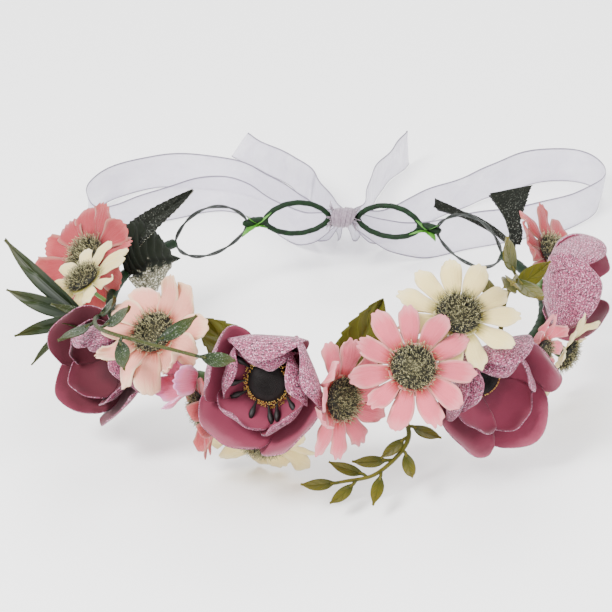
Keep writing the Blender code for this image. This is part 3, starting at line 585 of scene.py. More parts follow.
olive_leaf = leaf_plastic("moulded_olive_leaf", "#202C05", "#44430A", "#4A4A10", "#59591B")
sprig_leaf = leaf_plastic("moulded_frosted_leaf",
                          "#041202", "#192903", "#353606", "#2E4012", frost=0.14, veins=6.0)
sprig_olive = leaf_plastic("moulded_olive_sprig", "#222D05", "#4A4707", "#58500F", "#414207", veins=5.0)
spear_leaf = leaf_plastic("moulded_spear_leaf", "#030E01", "#0F1D02", "#2C2E04", "#1D2C07", veins=2.0)
velvet_front = leaf_plastic("flocked_velvet_leaf",
                            "#040602", "#070A03", "#0B0F05", "#11160A", frost=0.12, veins=9.0, roughness=0.88)
velvet_back = leaf_plastic("bare_leaf_back",
                           "#3E4034", "#5F5E4E", "#6D6B5C", "#898674", frost=0.7, veins=9.0, roughness=0.88)
strap_leaf = leaf_plastic("flocked_strap_leaf",
                          "#050703", "#080B05", "#0A0E06", "#11150B", frost=0.13, veins=12.0, roughness=0.88)
velvet_dusted = leaf_plastic("dusted_velvet_leaf",
                             "#090D05", "#0C1206", "#12190A", "#040602", veins=9.0, roughness=0.88)
dust_one_side(velvet_dusted)

# %% [markdown]
# The tape, the wire and the knot are each one colour with a soft mottle.  The mottle's size
# is a real one, such as the crinkle of waxed paper, and the same pattern gives the bump.

# %% Tape, wire and knot finishes
def rough_finish(name, low, high, roughness, grain_mm, **sockets):
    made, tree, shader = start_material(name, roughness, **sockets)
    place = add_node(tree, "TexCoord", out="Object")
    grain = add_node(tree, "TexNoise", {"Vector": place, "Scale": 1 / (grain_mm * MM), "Detail": 4.0})
    base = add_node(tree, "ValToRGB", {"Fac": grain}, stops=[(0.3, low), (0.7, high)])
    finish_material(tree, shader, base, grain, 0.4, 0.2 * MM)
    return made


paper_tape = rough_finish("waxed_paper_tape", "#010E02", "#042507", 0.6, 1.6,
                          Specular_IOR_Level=0.2)
bright_tape = rough_finish("torn_paper_tape", "#256214", "#518F25", 0.55, 2.5)
coated_wire = rough_finish("coated_green_wire", "#0E1410", "#181F1B", 0.4, 3.0)
bare_steel = rough_finish("florist_steel", "#4A4F4A", "#666B66", 0.35, 3.0, Metallic=0.9)
knot_cloth = rough_finish("gathered_organza", "#6F5D6C", "#90818D", 0.7, 1.2,
                          Sheen_Weight=0.3, Alpha=0.94)
print("finishes", len(bpy.data.materials))

# %% [markdown]
# Organza is a sheer open weave, so most light goes through it, and it turns greyer where it
# is seen on edge or lies double.  Its two edges are woven closer and show as fine lines.
# Alpha is the share of thread, higher along the edges.

# %% Sheer ribbon
organza, tree, shader = start_material("white_organza", 0.55, Sheen_Weight=0.4, Sheen_Roughness=0.3)
along = add_node(tree, "Attribute", settings=ALONG, out="Fac")
across = add_node(tree, "Attribute", settings=ACROSS, out="Fac")
side = add_node(tree, "Math", {0: across}, ABSOLUTE)
selvage = add_node(tree, "MapRange", {"Value": side, "From Min": 0.90, "From Max": 0.95})
tint = add_node(tree, "Mix", {"Factor": selvage, "A": colour("#D3CEDD"), "B": colour("#6E6778")},
                RGBA, out="Result")
lay = add_node(tree, "CombineXYZ", {"X": across, "Y": along})
crush = add_node(tree, "Mapping", {"Vector": lay, "Scale": (0.6, 14.0, 1.0)})
cloud = add_node(tree, "TexNoise", {"Vector": crush, "Scale": 1.2, "Detail": 4.0})
open_share = add_node(tree, "MapRange", {"Value": cloud, "From Min": 0.3, "From Max": 0.7,
                                         "To Min": 0.40, "To Max": 0.68})
dense = add_node(tree, "Math", {0: selvage, 1: 0.45, 2: open_share}, MULTIPLY_ADD)
tree.links.new(dense, shader.inputs["Alpha"])
finish_material(tree, shader, tint, cloud, 0.3, 0.3 * MM)

# %% [markdown]
# Every blade of cloth starts as a flat grid from bmesh.ops.create_grid, and each of its
# points is moved to its place on the measured blade.  A grid was chosen over extruding rows
# because its two directions are then known at every point, for the relief and for the dye.

# %% Lay a grid on a blade
def start_mesh():
    """A bmesh whose points carry the three values that the finishes read."""
    bm = bmesh.new()
    for name in ("along", "across", "tone"):
        bm.verts.layers.float.new(name)
    return bm


def mark(bm, vert, along_value, across_value, tone_value):
    layers = bm.verts.layers.float
    vert[layers["along"]] = along_value
    vert[layers["across"]] = across_value
    vert[layers["tone"]] = tone_value


def paint(verts, slot):
    """Gives the faces round some points the finish in a slot."""
    for face in {face for vert in verts for face in vert.link_faces}:
        face.material_index = slot


def lay_grid(bm, columns, steps, place_at, tone_value, slot=0):
    """A grid whose points go where place_at(u, s) says, u from -1 to 1 and s from 0 to 1."""
    grid = bmesh.ops.create_grid(bm, x_segments=columns, y_segments=steps, size=1.0)
    for vert in grid["verts"]:
        u, s = -vert.co.x, (vert.co.y + 1) / 2
        vert.co = place_at(u, s)
        mark(bm, vert, s, u, tone_value)
    if slot:
        paint(grid["verts"], slot)
    return grid["verts"]


def cross_ways(axis):
    """Two directions square to an axis and to each other."""
    side = axis.orthogonal().normalized()
    return side, axis.cross(side)


def finish_piece(name, bm, finishes, nodes, body, slot, wall=0.0, back=0):
    """Makes the object, gives it a cloth's thickness, and ties it to the frame."""
    mesh = bpy.data.meshes.new(name)
    bm.to_mesh(mesh)
    bm.free()
    mesh.shade_smooth()
    made = bpy.data.objects.new(name, mesh)
    bpy.context.scene.collection.objects.link(made)
    for finish in finishes:
        mesh.materials.append(finish)
    if wall:
        cloth = made.modifiers.new("cloth", "SOLIDIFY")
        cloth.thickness = wall
        cloth.offset = 0.0
        cloth.material_offset = back
        cloth.material_offset_rim = back
    if body:
        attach(made, body)
    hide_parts(*nodes)
    return made


# %% [markdown]
# A daisy petal is narrow at the heart, widest past its middle, and ends in two or three
# blunt lobes.  Pressing leaves it a little hollow with a soft crease along the middle, and
# handling curls each tip its own way.  A reach that depends on where you are across the
# petal cuts the lobes without any extra points.

# %% Daisy petals
PETAL_WALL = 0.35 * MM
STEM_HOLE = 2.0 * MM
rng = random.Random(7)


def daisy_petal(bm, blade, index, hub, count, widen=1.0, ruffle=1.0):
    """One petal, never wider at its root than its share of the circle."""
    tone_value = rng.random()
    lobes = rng.choice((2, 3, 3, 4)) + (2 if widen > 1.3 else 0)
    notch, curl = rng.uniform(0.03, 0.12), rng.uniform(-2.6, 3.4) * MM * ruffle
    hollow = rng.choice((-1.6, -1.2, -0.8, 1.0)) * rng.uniform(0.8, 1.4) * MM
    wave = rng.uniform(0, 6.28)
    swing = rng.uniform(-1.4, 1.4) * MM * ruffle
    layer = (0.30 if index % 2 else -0.30) * MM
    wide = blade.wide * widen * rng.uniform(0.94, 1.10)
    short = rng.uniform(0.86, 1.02)
    twist = rng.uniform(-0.35, 0.35) * ruffle
    share = math.tan(math.pi / count) * 1.04

    def place_at(u, s):
        reach = 1.04 - 0.20 * abs(u) ** 2.6 - notch * (0.5 - 0.5 * math.cos(lobes * math.pi * (u + 1)))
        place, way, face = blade.at(s * (1 + (reach * short - 1) * s))
        half = wide * (0.42 + 0.58 * math.sin(math.pi * min(1.0, 0.06 + 0.66 * s)) ** 1.1)
        root = (place - hub).length * share
        half = min(half, root + (wide - root) * min(1.0, s * 1.6)) if wide > root else half
        relief = hollow * (u * u - 0.35) * math.sin(math.pi * min(1.0, s * 1.1)) * 0.9
        relief += 0.34 * MM * math.exp(-(u / 0.16) ** 2) * s * (1.2 - s)
        relief += curl * max(0.0, s - 0.45) ** 2 * 3.2
        relief += 0.40 * MM * math.sin(9 * s + wave + 2 * u) * abs(u) * widen
        relief += twist * u * half * s
        return place + way * (u * half + swing * s * s) + face * (relief + layer * min(1.0, 3 * s))

    lay_grid(bm, 10, 14, place_at, tone_value)


def cloth_ring(bm, hub, axis, outer):
    """The uncut middle that holds a layer of petals together, with its hole for the stem."""
    side, other = cross_ways(axis)

    def place_at(u, s):
        turn = 2 * math.pi * s
        radius = STEM_HOLE + (outer - STEM_HOLE) * (u + 1) / 2
        return hub + (side * math.cos(turn) - other * math.sin(turn)) * radius + axis * 0.1 * MM

    verts = lay_grid(bm, 3, 36, place_at, 0.3)
    layer = bm.verts.layers.float["along"]
    for vert in verts:
        vert[layer] = 0.02
    bmesh.ops.remove_doubles(bm, verts=verts, dist=WELD)


# %% [markdown]
# The anemone and peony petals are broad and cupped.  On the real flower each lies with one
# edge under its neighbour, like roof tiles, so every petal is tilted a little across and
# made wider than its own share of the circle.

# %% Anemone petals
def broad_petal(bm, blade, widen, tile, fold, bend_from):
    """fold says how far, in quarter turns, the petal's outer part rolls in over the heart."""
    tone_value = rng.random()
    wave = rng.uniform(0, 6.28)
    wide = blade.wide * widen
    here, _, _ = blade.at(bend_from)
    ahead = (blade.at(bend_from + 0.03)[0] - blade.at(bend_from - 0.03)[0]).normalized()
    radius = blade.long * (1 - bend_from) / max(0.05, abs(fold) * math.pi / 2)

    def place_at(u, s):
        reach = s * (1.04 - 0.30 * abs(u) ** 2.3 + 0.012 * math.sin(5 * u + wave))
        place, way, face = blade.at(min(reach, bend_from))
        if reach > bend_from:
            turned = (reach - bend_from) * blade.long / radius
            rolled, _, _ = blade.at(reach)
            curved = here + ahead * radius * math.sin(turned) + face * radius * (1 - math.cos(turned))
            keep = min(1.0, abs(fold) * 2)
            place = rolled.lerp(curved, keep)
            face = (face * math.cos(turned) - ahead * math.sin(turned)).normalized()
        half = wide * math.sin(math.pi * (0.16 + 0.52 * s)) ** 0.8
        half = min(half, blade.halves[0] * 1.05 + (wide - blade.halves[0]) * min(1.0, s * 2.6))
        relief = tile * u * min(1.0, 2.5 * s) + 2.4 * MM * u * u * s
        relief += 0.35 * MM * math.sin(6 * u + 5 * s + wave) * s * s
        relief += 0.25 * MM * math.exp(-(u / 0.10) ** 2) * (1 - s)
        return place + way * u * half + face * relief

    lay_grid(bm, 18, 26, place_at, tone_value)


# %% [markdown]
# Hearts: a dome that the threads stand on, a calyx behind, and the stem's own wire back to
# the ring.  The turned parts are grids rolled up into tubes, closed by a merge of doubles.

# %% Roll a grid into a tube
def frames_along(route):
    """A pair of crosswise directions at each point, carried along without twisting."""
    pairs = []
    side = (route[1] - route[0]).normalized().orthogonal()
    for index in range(len(route)):
        ahead = (route[min(index + 1, len(route) - 1)] - route[max(index - 1, 0)]).normalized()
        side = (side - ahead * side.dot(ahead)).normalized()
        pairs.append((side.copy(), ahead.cross(side)))
    return pairs


def roll_tube(bm, route, radius_at, sides, tone_value, closed=False, slot=0):
    """A tube along a route; radius_at(turn, s) is its radius, turn from 0 to 1 round it."""
    gap = 0.0
    if closed:
        route = route + [route[0]]
    pairs = frames_along(route)
    if closed:
        gap = pairs[0][0].angle(pairs[-1][0])
        if pairs[-1][0].cross(pairs[0][0]).dot(route[1] - route[0]) <= 0:
            gap = -gap
        pairs[-1] = pairs[0]
    last = len(route) - 1

    def place_at(u, s):
        index = round(s * last)
        turn = (1 - u) / 2
        one, two = pairs[index]
        twist = 2 * math.pi * turn - (gap * s if index < last else 0.0)
        return route[index] + (one * math.cos(twist) + two * math.sin(twist)) * radius_at(turn, s)

    verts = lay_grid(bm, sides, last, place_at, tone_value, slot)
    rims = []
    if not closed:
        edges = dict.fromkeys(edge for vert in verts for edge in vert.link_edges if edge.is_boundary)
        layer = bm.verts.layers.float["along"]
        for end in (0.0, 1.0):
            rims.append([edge for edge in edges if all(abs(v[layer] - end) < 1e-6 for v in edge.verts)])
    bmesh.ops.remove_doubles(bm, verts=verts, dist=WELD)
    for rim in rims:
        alive = [edge for edge in rim if edge.is_valid]
        if len(alive) > 2:
            for face in bmesh.ops.contextual_create(bm, geom=alive)["faces"]:
                face.material_index = slot


def smooth_route(points, steps):
    """Points along a Catmull-Rom curve through the given ones."""
    ends = [points[0] * 2 - points[1], *points, points[-1] * 2 - points[-2]]
    route = []
    for before, start, end, after in zip(ends, ends[1:], ends[2:], ends[3:]):
        for step in range(steps):
            route.append(curve_point(before, start, end, after, step / steps))
    route.append(points[-1].copy())
    return route


# %% [markdown]
# Hundreds of small three-sided threads give a heart its true outline, which a bump on a dome
# can't.  One thread is made and cut in two, then copied, and the copies' three rows of points
# are moved onto bent routes.  Each has so few faces that the tuft stays light.

# %% Hearts, stems and threads
GOLDEN = math.pi * (3 - math.sqrt(5))
CALYX_DEEP = 6.5 * MM     # how far behind the hub the calyx reaches
HEAD_WIDE = 12 * MM
WIRE_RADIUS = 0.8 * MM


def stem_tail(stem_node, hub, axis):
    """Points down the middle of the wire, from behind the calyx to the ring."""
    bm = welded(stem_node)
    behind = set()
    for vert in bm.verts:
        height = (vert.co - hub).dot(axis)
        if height < -CALYX_DEEP or (vert.co - hub - axis * height).length > HEAD_WIDE:
            behind.add(vert)
    if len(behind) < 8:
        bm.free()
        return [hub - axis * 7 * MM, hub - axis * 9 * MM]
    steps = steps_from(points_near(bm, ring_root(behind).co, 1.9 * MM))
    rows = {}
    for vert in bm.verts:
        if vert in behind:
            rows.setdefault(steps[vert], []).append(vert.co.copy())
    route = [middle_of(rows[level]) for level in sorted(rows, reverse=True)]
    bm.free()
    return route


def turn_head(bm, hub, axis, profile, sides, tone_value, slot):
    """A turned shape about the flower's axis, from (height, radius) pairs."""
    route = [hub + axis * height for height, _ in profile]
    radii = [radius for _, radius in profile]
    last = len(profile) - 1
    roll_tube(bm, route, lambda turn, s: radii[round(s * last)], sides, tone_value, slot=slot)


def edge_place(edge):
    return tuple(sum(vert.co[axis] for vert in edge.verts) for axis in range(3))


def face_place(face):
    return tuple(face.calc_center_median())


def roll_threads(bm, threads, radius, slot):
    """Copies one three-sided thread for each (route, tone), and bends its rows onto the route."""
    cone = bmesh.ops.create_cone(bm, cap_ends=True, segments=3, radius1=1.0, radius2=0.7, depth=1.0)
    faces = {face for vert in cone["verts"] for face in vert.link_faces}
    edges = {edge for vert in cone["verts"] for edge in vert.link_edges}
    whole = cone["verts"] + sorted(edges, key=edge_place) + sorted(faces, key=face_place)
    cut = bmesh.ops.bisect_plane(bm, geom=whole, plane_co=(0, 0, 0), plane_no=(0, 0, 1))
    template = list(dict.fromkeys(cut["geom"] + cut["geom_cut"]))
    for route, tone_value in threads:
        pairs = frames_along(route)
        for item in bmesh.ops.duplicate(bm, geom=template)["geom"]:
            if isinstance(item, bmesh.types.BMVert):
                share = item.co.z + 0.5
                index = round(share * 2)
                one, two = pairs[index]
                mark(bm, item, share, 0.0, tone_value)
                item.co = route[index] + (one * item.co.x + two * item.co.y) * radius
            elif isinstance(item, bmesh.types.BMFace):
                item.material_index = slot
    spare = [item for item in template if isinstance(item, bmesh.types.BMVert)]
    bmesh.ops.delete(bm, geom=spare, context="VERTS")


def add_tuft(bm, hub, axis, floor, radius, count, length):
    """Curled threads that stand on a dome and lean out towards its rim."""
    side, other = cross_ways(axis)
    threads = []
    for index in range(count):
        share = math.sqrt((index + 0.5) / count)
        turn = index * GOLDEN + rng.uniform(-0.2, 0.2)
        out = side * math.cos(turn) + other * math.sin(turn)
        foot = hub + axis * (floor + (1 - share * share) * radius * 0.34) + out * radius * share * 0.92
        lean = share * 0.85 + rng.uniform(-0.45, 0.45)
        way = (axis * math.cos(lean) + out * math.sin(lean)).normalized()
        drift = (side * rng.uniform(-1, 1) + other * rng.uniform(-1, 1)) * 1.3
        long = length * rng.uniform(0.55, 1.2)
        bend = (way + drift).normalized()
        route = [foot, foot + way * long * 0.55, foot + way * long * 0.70 + bend * long * 0.42]
        threads.append((route, rng.random()))
    roll_threads(bm, threads, 0.11 * MM, 0)


def add_stem(bm, node, hub, axis, width):
    """The calyx behind the petals, and the wire from there back to the ring."""
    calyx = [(-0.55 * MM, width), (-2.0 * MM, width * 1.05), (-4.2 * MM, width * 0.86),
             (-6.2 * MM, width * 0.5), (-7.0 * MM, 0.9 * MM)]
    turn_head(bm, hub, axis, calyx, 12, 0.5, 1)
    route = smooth_route([hub - axis * 5 * MM] + stem_tail(node, hub, axis), 3)
    roll_tube(bm, route, lambda turn, s: WIRE_RADIUS, 8, 0.4, slot=1)


def make_heart(name, size, hub, axis):
    """A daisy's heart, calyx and stem as one piece."""
    bm = start_mesh()
    radius = 8.2 * MM * size
    dome = [(0.55 * MM, 2.0 * MM), (0.6 * MM, radius * 0.9), (1.4 * MM, radius), (2.4 * MM, radius * 0.86),
            (3.1 * MM, radius * 0.55), (3.4 * MM, radius * 0.2), (3.42 * MM, 0.05 * MM)]
    turn_head(bm, hub, axis, dome, 24, 0.1, 0)
    add_tuft(bm, hub, axis, 1.2 * MM, radius, int(760 * size * size), 3.6 * MM * size)
    add_stem(bm, f"{name}_stem", hub, axis, 2.5 * MM)
    finish_piece(f"{name}_heart", bm, [tuft_painted_root_shade, sepal_green], [f"{name}_stem"], "crown", "disc_khaki")


# %% [markdown]
# Eleven daisies differ in dye, in how wide their petals are, and in how far handling has
# ruffled them, so a table holds just those three for each.

# %% Make the daisies
DAISIES = {
    "daisy_pink_front": ("pink", 1.0, 0.9), "daisy_cream_right": ("cream", 1.0, 0.45),
    "daisy_peach_left": ("peach", 1.3, 2.6), "daisy_pink_turned": ("pink", 1.05, 1.6),
    "daisy_cream_left": ("cream", 0.88, 0.7), "daisy_salmon_left": ("salmon", 1.45, 1.6),
    "daisy_salmon_right": ("salmon", 1.1, 1.2), "daisy_salmon_nodding": ("salmon", 1.05, 1.5),
    "daisy_pink_small": ("pink", 1.0, 1.2), "daisy_cream_under": ("cream", 1.1, 1.3),
    "daisy_cream_back": ("cream", 0.9, 1.2),
}
for name, (dye, widen, ruffle) in DAISIES.items():
    hub, axis, blades = read_flower(f"{name}_petals", f"{name}_stem")
    ring_out = sum((blade.mids[0] - hub).length for blade in blades) / len(blades)
    size = ring_out / (7.9 * MM)
    bm = start_mesh()
    for index, blade in enumerate(blades):
        daisy_petal(bm, blade, index, hub, len(blades), widen, ruffle)
    cloth_ring(bm, hub, axis, ring_out + 1.2 * MM)
    finish_piece(f"{name}_silk", bm, [petal_materials[dye]], [f"{name}_petals"], "crown",
                 f"petal_{dye}", PETAL_WALL)
    make_heart(name, size, hub, axis)
    print(name, "petals", len(blades), "size", round(size, 2), "half width", round(blades[0].wide / MM, 1))

# %% [markdown]
# The anemone's own heart is a flocked dark button with a ring of gold grit round it and a
# dozen club-ended stamens.  The stamens are the solid's own rows, so they stand exactly
# where the solid has them, and the grit is hundreds of tiny eight-faced grains.

# %% Dark hearts, grit and stamens
def add_grit(bm, hub, axis, low, high, inner, outer, count, slot):
    """Grains scattered in a ring between two radii and two heights."""
    side, other = cross_ways(axis)
    for _ in range(count):
        turn, share = rng.uniform(0, 2 * math.pi), rng.random()
        out = side * math.cos(turn) + other * math.sin(turn)
        spot = hub + axis * (low + (high - low) * share) + out * (outer + (inner - outer) * share)
        grain = bmesh.ops.create_icosphere(bm, subdivisions=1, radius=rng.uniform(0.14, 0.30) * MM,
                                           matrix=Matrix.Translation(spot))
        tone_value = rng.random()
        for vert in grain["verts"]:
            mark(bm, vert, rng.random(), 0.0, tone_value)
        paint(grain["verts"], slot)


def make_dark_heart(name, base, radius, tall, hub, axis, grit):
    bm = start_mesh()
    dome = [(base, radius * 0.7), (base + 0.1 * MM, radius), (base + tall * 0.5, radius * 1.02),
            (base + tall * 0.8, radius * 0.8), (base + tall * 0.96, radius * 0.4), (base + tall, 0.05 * MM)]
    turn_head(bm, hub, axis, dome, 28, 0.5, 0)
    side, other = cross_ways(axis)
    count = int(260 * (radius / (4.4 * MM)) ** 2)
    nap = []
    for index in range(count):
        share = math.sqrt((index + 0.5) / count)
        out = side * math.cos(index * GOLDEN) + other * math.sin(index * GOLDEN)
        height = base + tall * math.sqrt(max(0.0, 1 - share * share)) * 0.96
        foot = hub + axis * height + out * radius * share
        way = (axis * (1.05 - share) + out * share).normalized()
        nap.append(([foot, foot + way * 0.5 * MM, foot + way * 0.9 * MM], rng.random()))
    roll_threads(bm, nap, 0.2 * MM, 0)
    if grit:
        add_grit(bm, hub, axis, base + 0.2 * MM, base + tall * 0.7, radius * 0.98, radius * 1.42, grit, 2)
    add_stem(bm, f"{name}_stem", hub, axis, 2.7 * MM)
    finish_piece(f"{name}_heart", bm, [heart_dark, sepal_green, gold_grit], [f"{name}_stem"], "crown",
                 "disc_dark")


CLUB_FROM = 0.62          # share of a stamen's length where its club begins


def make_stamens(name, hub, axis):
    """A wire filament with a flocked club on its end, along each of the solid's own stamens."""
    _, _, blades = read_flower(f"{name}_stamens", f"{name}_stem")
    bm = start_mesh()
    shares = [index / 9 for index in range(10)]

    def club(turn, s):
        swell = math.sin(math.pi * (s - CLUB_FROM) / 0.42) if s > CLUB_FROM else 0.0
        return (0.42 + 0.75 * max(0.0, swell)) * MM

    for blade in blades:
        route = [hub + (blade.at(share)[0] - hub) * (1 + 0.3 * share) for share in shares]
        drift = axis.cross(route[-1] - route[0]) * rng.uniform(-0.35, 0.35)
        route = [point + drift * share ** 2 for point, share in zip(route, shares)]
        roll_tube(bm, route, club, 9, rng.random())
    hub_ring = [(2.6 * MM, 5.4 * MM), (2.9 * MM, 5.6 * MM), (3.1 * MM, 4.6 * MM), (3.12 * MM, 0.1 * MM)]
    turn_head(bm, hub, axis, hub_ring, 24, 0.3, 0)
    finish_piece(f"{name}_filaments", bm, [stamen_dark], [f"{name}_stamens"], "crown", "disc_dark")


# %% [markdown]
# The cups share one recipe too.  Their upper petals roll in over the heart more than their
# lower ones, because the flowers lean and the cloth sags, so the fold depends on how far
# upward a petal points.

# %% Make the anemones, the peony and the bud
CUPS = {
    "anemone_front": (mauve_suede, 7.2, 5.8, 620, (0.30, 0.95, 0.66), (0.80, 0.95, 0.70)),
    "anemone_left": (burgundy_suede, 5.5, 4.0, 160, (0.1, 0.7, 0.6), (0.4, 0.9, 0.65)),
    "anemone_right": (mauve_suede, 6.0, 4.0, 200, (0.1, 0.8, 0.6), (0.5, 1.1, 0.65)),
    "peony_right": (mauve_suede, 4.2, 10.0, 0, (0.6, 0.3, 0.5), (0.8, 0.5, 0.5)),
}
for name, (inside, radius, tall, grit, outer_fold, inner_fold) in CUPS.items():
    for ring, widen, tile, (least, more, late) in (("outer_petals", 1.25, 1.3 * MM, outer_fold),
                                                   ("inner_petals", 1.25, 1.1 * MM, inner_fold)):
        hub, axis, blades = read_flower(f"{name}_{ring}", f"{name}_stem", cupped=True)
        upward = (Vector((0, 0, 1)) - axis * axis.z).normalized()
        bm = start_mesh()
        for blade in blades:
            out = blade.mids[1] - hub
            out = (out - axis * out.dot(axis)).normalized()
            high = max(0.0, 0.5 + 0.5 * out.dot(upward)) ** 1.5
            broad_petal(bm, blade, widen, tile, least + more * high, late - 0.2 * high)
        cloth_ring(bm, hub, axis, (blades[0].mids[0] - hub).length + 1.2 * MM)
        finish_piece(f"{name}_{ring}_silk", bm, [inside, pink_film], [f"{name}_{ring}"], "crown",
                     "petal_glitter" if ring.startswith("outer") else "petal_mauve", 0.4 * MM, back=1)
        if ring == "outer_petals":
            base_hub = hub
        if name == "anemone_front":
            front_hub, front_axis = base_hub, axis
    base = (3.3 if name == "anemone_front" else 2.0) * MM
    make_dark_heart(name, base, radius * MM, tall * MM, base_hub, axis, grit)
    print(name, "petals", len(blades), "wide", round(blades[0].wide / MM, 1))
make_stamens("anemone_front", front_hub, front_axis)

hub, axis, blades = read_flower("bud_violet_petals", "bud_violet_stem")
bm = start_mesh()
for index, blade in enumerate(blades):
    daisy_petal(bm, blade, index, hub, len(blades), 1.2, 0.6)
finish_piece("bud_violet_silk", bm, [petal_materials["violet"]], ["bud_violet_petals"], "crown",
             "petal_violet", PETAL_WALL)
bm = start_mesh()
add_tuft(bm, hub, axis, 0.6 * MM, 2.6 * MM, 60, 5.0 * MM)
add_stem(bm, "bud_violet_stem", hub, axis, 2.7 * MM)
finish_piece("bud_violet_heart", bm, [tuft_painted_root_shade, sepal_green], ["bud_violet_stem"], "crown", "disc_dark")

# %% [markdown]
# Leaves are moulded or die-cut with toothed edges.  The teeth are cut into the grid's
# outline by a saw-tooth on its half width, and the veins are pressed in by the relief, so
# both are real shape.  The flocked leaf is bare on its back.

# %% Leaves
def saw(value):
    return value - math.floor(value)


def lay_leaf(bm, blade, teeth, depth, tone_value, fullness, columns, steps, curl=0.0, point=0.75):
    """Lays a toothed leaf on a blade; a higher point value gives a more pointed leaf."""
    wide = blade.wide * fullness

    def place_at(u, s):
        place, way, face = blade.at(s * 1.03)
        swell = math.sin(math.pi * min(1.0, 0.02 + 0.97 * s ** 0.85)) ** point
        bite = 1 - depth * saw(s * teeth) * min(1.0, abs(u) ** 3 * 1.5)
        half = max(0.35 * MM, wide * swell * bite)
        relief = wide * 0.20 * abs(u) - 0.10 * wide * math.exp(-(u / 0.12) ** 2)
        relief += 0.05 * wide * math.cos(2 * math.pi * (s * teeth * 0.5 - abs(u) * 1.4)) * (1 - abs(u) ** 4)
        relief += curl * max(0.0, s - 0.6) ** 2
        return place + way * u * half + face * relief

    lay_grid(bm, columns, steps, place_at, tone_value)


def read_leaf(node):
    """One blade along a leaf whose root is on the ring."""
    bm = welded(node)
    rows = rows_from(bm, points_near(bm, ring_root(bm.verts).co, 1.5 * MM))
    bm.free()
    middle = middle_of(rows[len(rows) // 2])
    out = (middle - ring_centre).normalized() + Vector((0, -0.3, 0.8))
    return Blade(rows, out.cross(rows[-1][0] - rows[0][0]), out)


LEAVES = {
    "olive_leaf_left": (olive_leaf, olive_leaf, 9, 0.13, "leaf_olive", 1.12),
    "olive_leaf_right": (olive_leaf, olive_leaf, 10, 0.13, "leaf_olive", 1.12),
    "velvet_leaf_broad": (velvet_dusted, velvet_dusted, 16, 0.10, "leaf_velvet", 1.4),
    "velvet_leaf_long": (velvet_front, velvet_back, 22, 0.14, "leaf_velvet", 1.05),
}
for name, (front, back, teeth, depth, slot, fullness) in LEAVES.items():
    blade = read_leaf(name)
    bm = start_mesh()
    lay_leaf(bm, blade, teeth, depth, rng.random(), fullness, 16, 64)
    finish_piece(f"{name}_blade", bm, [front, back], [name], "crown", slot, 0.35 * MM, back=1)
    print(name, "length in mm", round(blade.long / MM, 1), "half width", round(blade.wide / MM, 1))

# %% [markdown]
# The sprigs are soft plastic: a thin stalk with pairs of pointed leaflets.  A leaflet's tip
# is a small cluster of points that are further from the root than all around them, and the
# walk back from it gives the leaflet's rows and the place on the stalk where it grows.

# %% Sprigs and sprays
TIP_CLUSTER = 1.25 * MM


def read_sprig(node):
    """The stalk's route, and for each leaflet its foot on the stalk and its blade."""
    bm = welded(node)
    steps = steps_from(points_near(bm, ring_root(bm.verts).co, 1.7 * MM))
    peaks, used, blades = [], set(), []
    for vert in sorted(bm.verts, key=lambda v: (-steps[v], v.index)):
        if vert in used or any(steps[edge.other_vert(vert)] > steps[vert] for edge in vert.link_edges):
            continue
        cluster = points_near(bm, vert.co, TIP_CLUSTER)
        used.update(cluster)
        if len(cluster) >= 4:
            peaks.append(cluster)
    for cluster in peaks:
        away = steps_from(cluster)
        rows = [[v.co.copy() for v in bm.verts if away[v] == level] for level in range(4)]
        rows.reverse()
        way = middle_of(rows[-1]) - middle_of(rows[1])
        for level in range(3):
            used.update(v for v in bm.verts if away[v] == level)
        out = Vector((0, -0.4, 1)) + (middle_of(rows[-1]) - ring_centre).normalized() * 0.6
        blades.append((middle_of(rows[0]), Blade(rows[1:], way.cross(out), out)))
    stalk = {}
    for vert in bm.verts:
        if vert not in used:
            stalk.setdefault(steps[vert], []).append(vert.co.copy())
    route = [middle_of(stalk[level]) for level in sorted(stalk)]
    bm.free()
    return route, blades


def make_sprig(name, finish, fullness, longer):
    """A tapered stalk, and leaflets on short stalks of their own."""
    route, blades = read_sprig(name)
    bm = start_mesh()
    stalk = smooth_route(route, 3)
    roll_tube(bm, stalk, lambda turn, s: (0.85 - 0.35 * s) * MM, 8, 0.1)
    for foot, blade in blades:
        tone_value = rng.random()
        full = fullness * rng.uniform(0.9, 1.15)
        blade.mids = [foot + (point - foot) * longer for point in blade.mids]
        blade.mids.insert(0, foot.lerp(blade.mids[0], 0.25))
        blade.sides.insert(0, blade.sides[0])
        blade.fronts.insert(0, blade.fronts[0])
        lay_leaf(bm, blade, 1, 0.0, tone_value, full, 8, 16, rng.uniform(-4, 12) * MM, 1.3)
        joint = min(stalk, key=lambda point: (point - foot).length)
        roll_tube(bm, [joint, blade.mids[0], blade.at(0.15)[0]], lambda turn, s: 0.5 * MM, 6, 0.1)
    finish_piece(f"{name}_leaflets", bm, [finish], [name], "crown", "leaf_olive", 0.3 * MM)
    print(name, "leaflets", len(blades), "stalk points", len(route))


SPRIGS = {"front_sprig": (sprig_olive, 0.95, 1.3), "left_sprig": (sprig_leaf, 0.95, 1.6),
          "right_sprig": (sprig_olive, 1.15, 1.6)}
for name, (finish, fullness, longer) in SPRIGS.items():
    make_sprig(name, finish, fullness, longer)


def read_spray(node, pivot):
    """The blades that fan out from one stalk."""
    bm = welded(node)
    root = min(bm.verts, key=lambda vert: ((vert.co - pivot).length, vert.index))
    start = [vert for vert in bm.verts if (vert.co - root.co).length < 6 * MM
             and abs((vert.co - pivot).length - (root.co - pivot).length) < 1.8 * MM]
    steps = steps_from(start)
    blades = []
    for rows in limbs_beyond(steps, 1):
        out = Vector((0, -0.3, 0.8)) + (rows[-1][0] - ring_centre).normalized()
        blades.append(Blade(rows, (middle_of(rows[-1]) - middle_of(rows[0])).cross(out), out))
    foot = middle_of([vert.co for vert in start])
    bm.free()
    return foot, blades


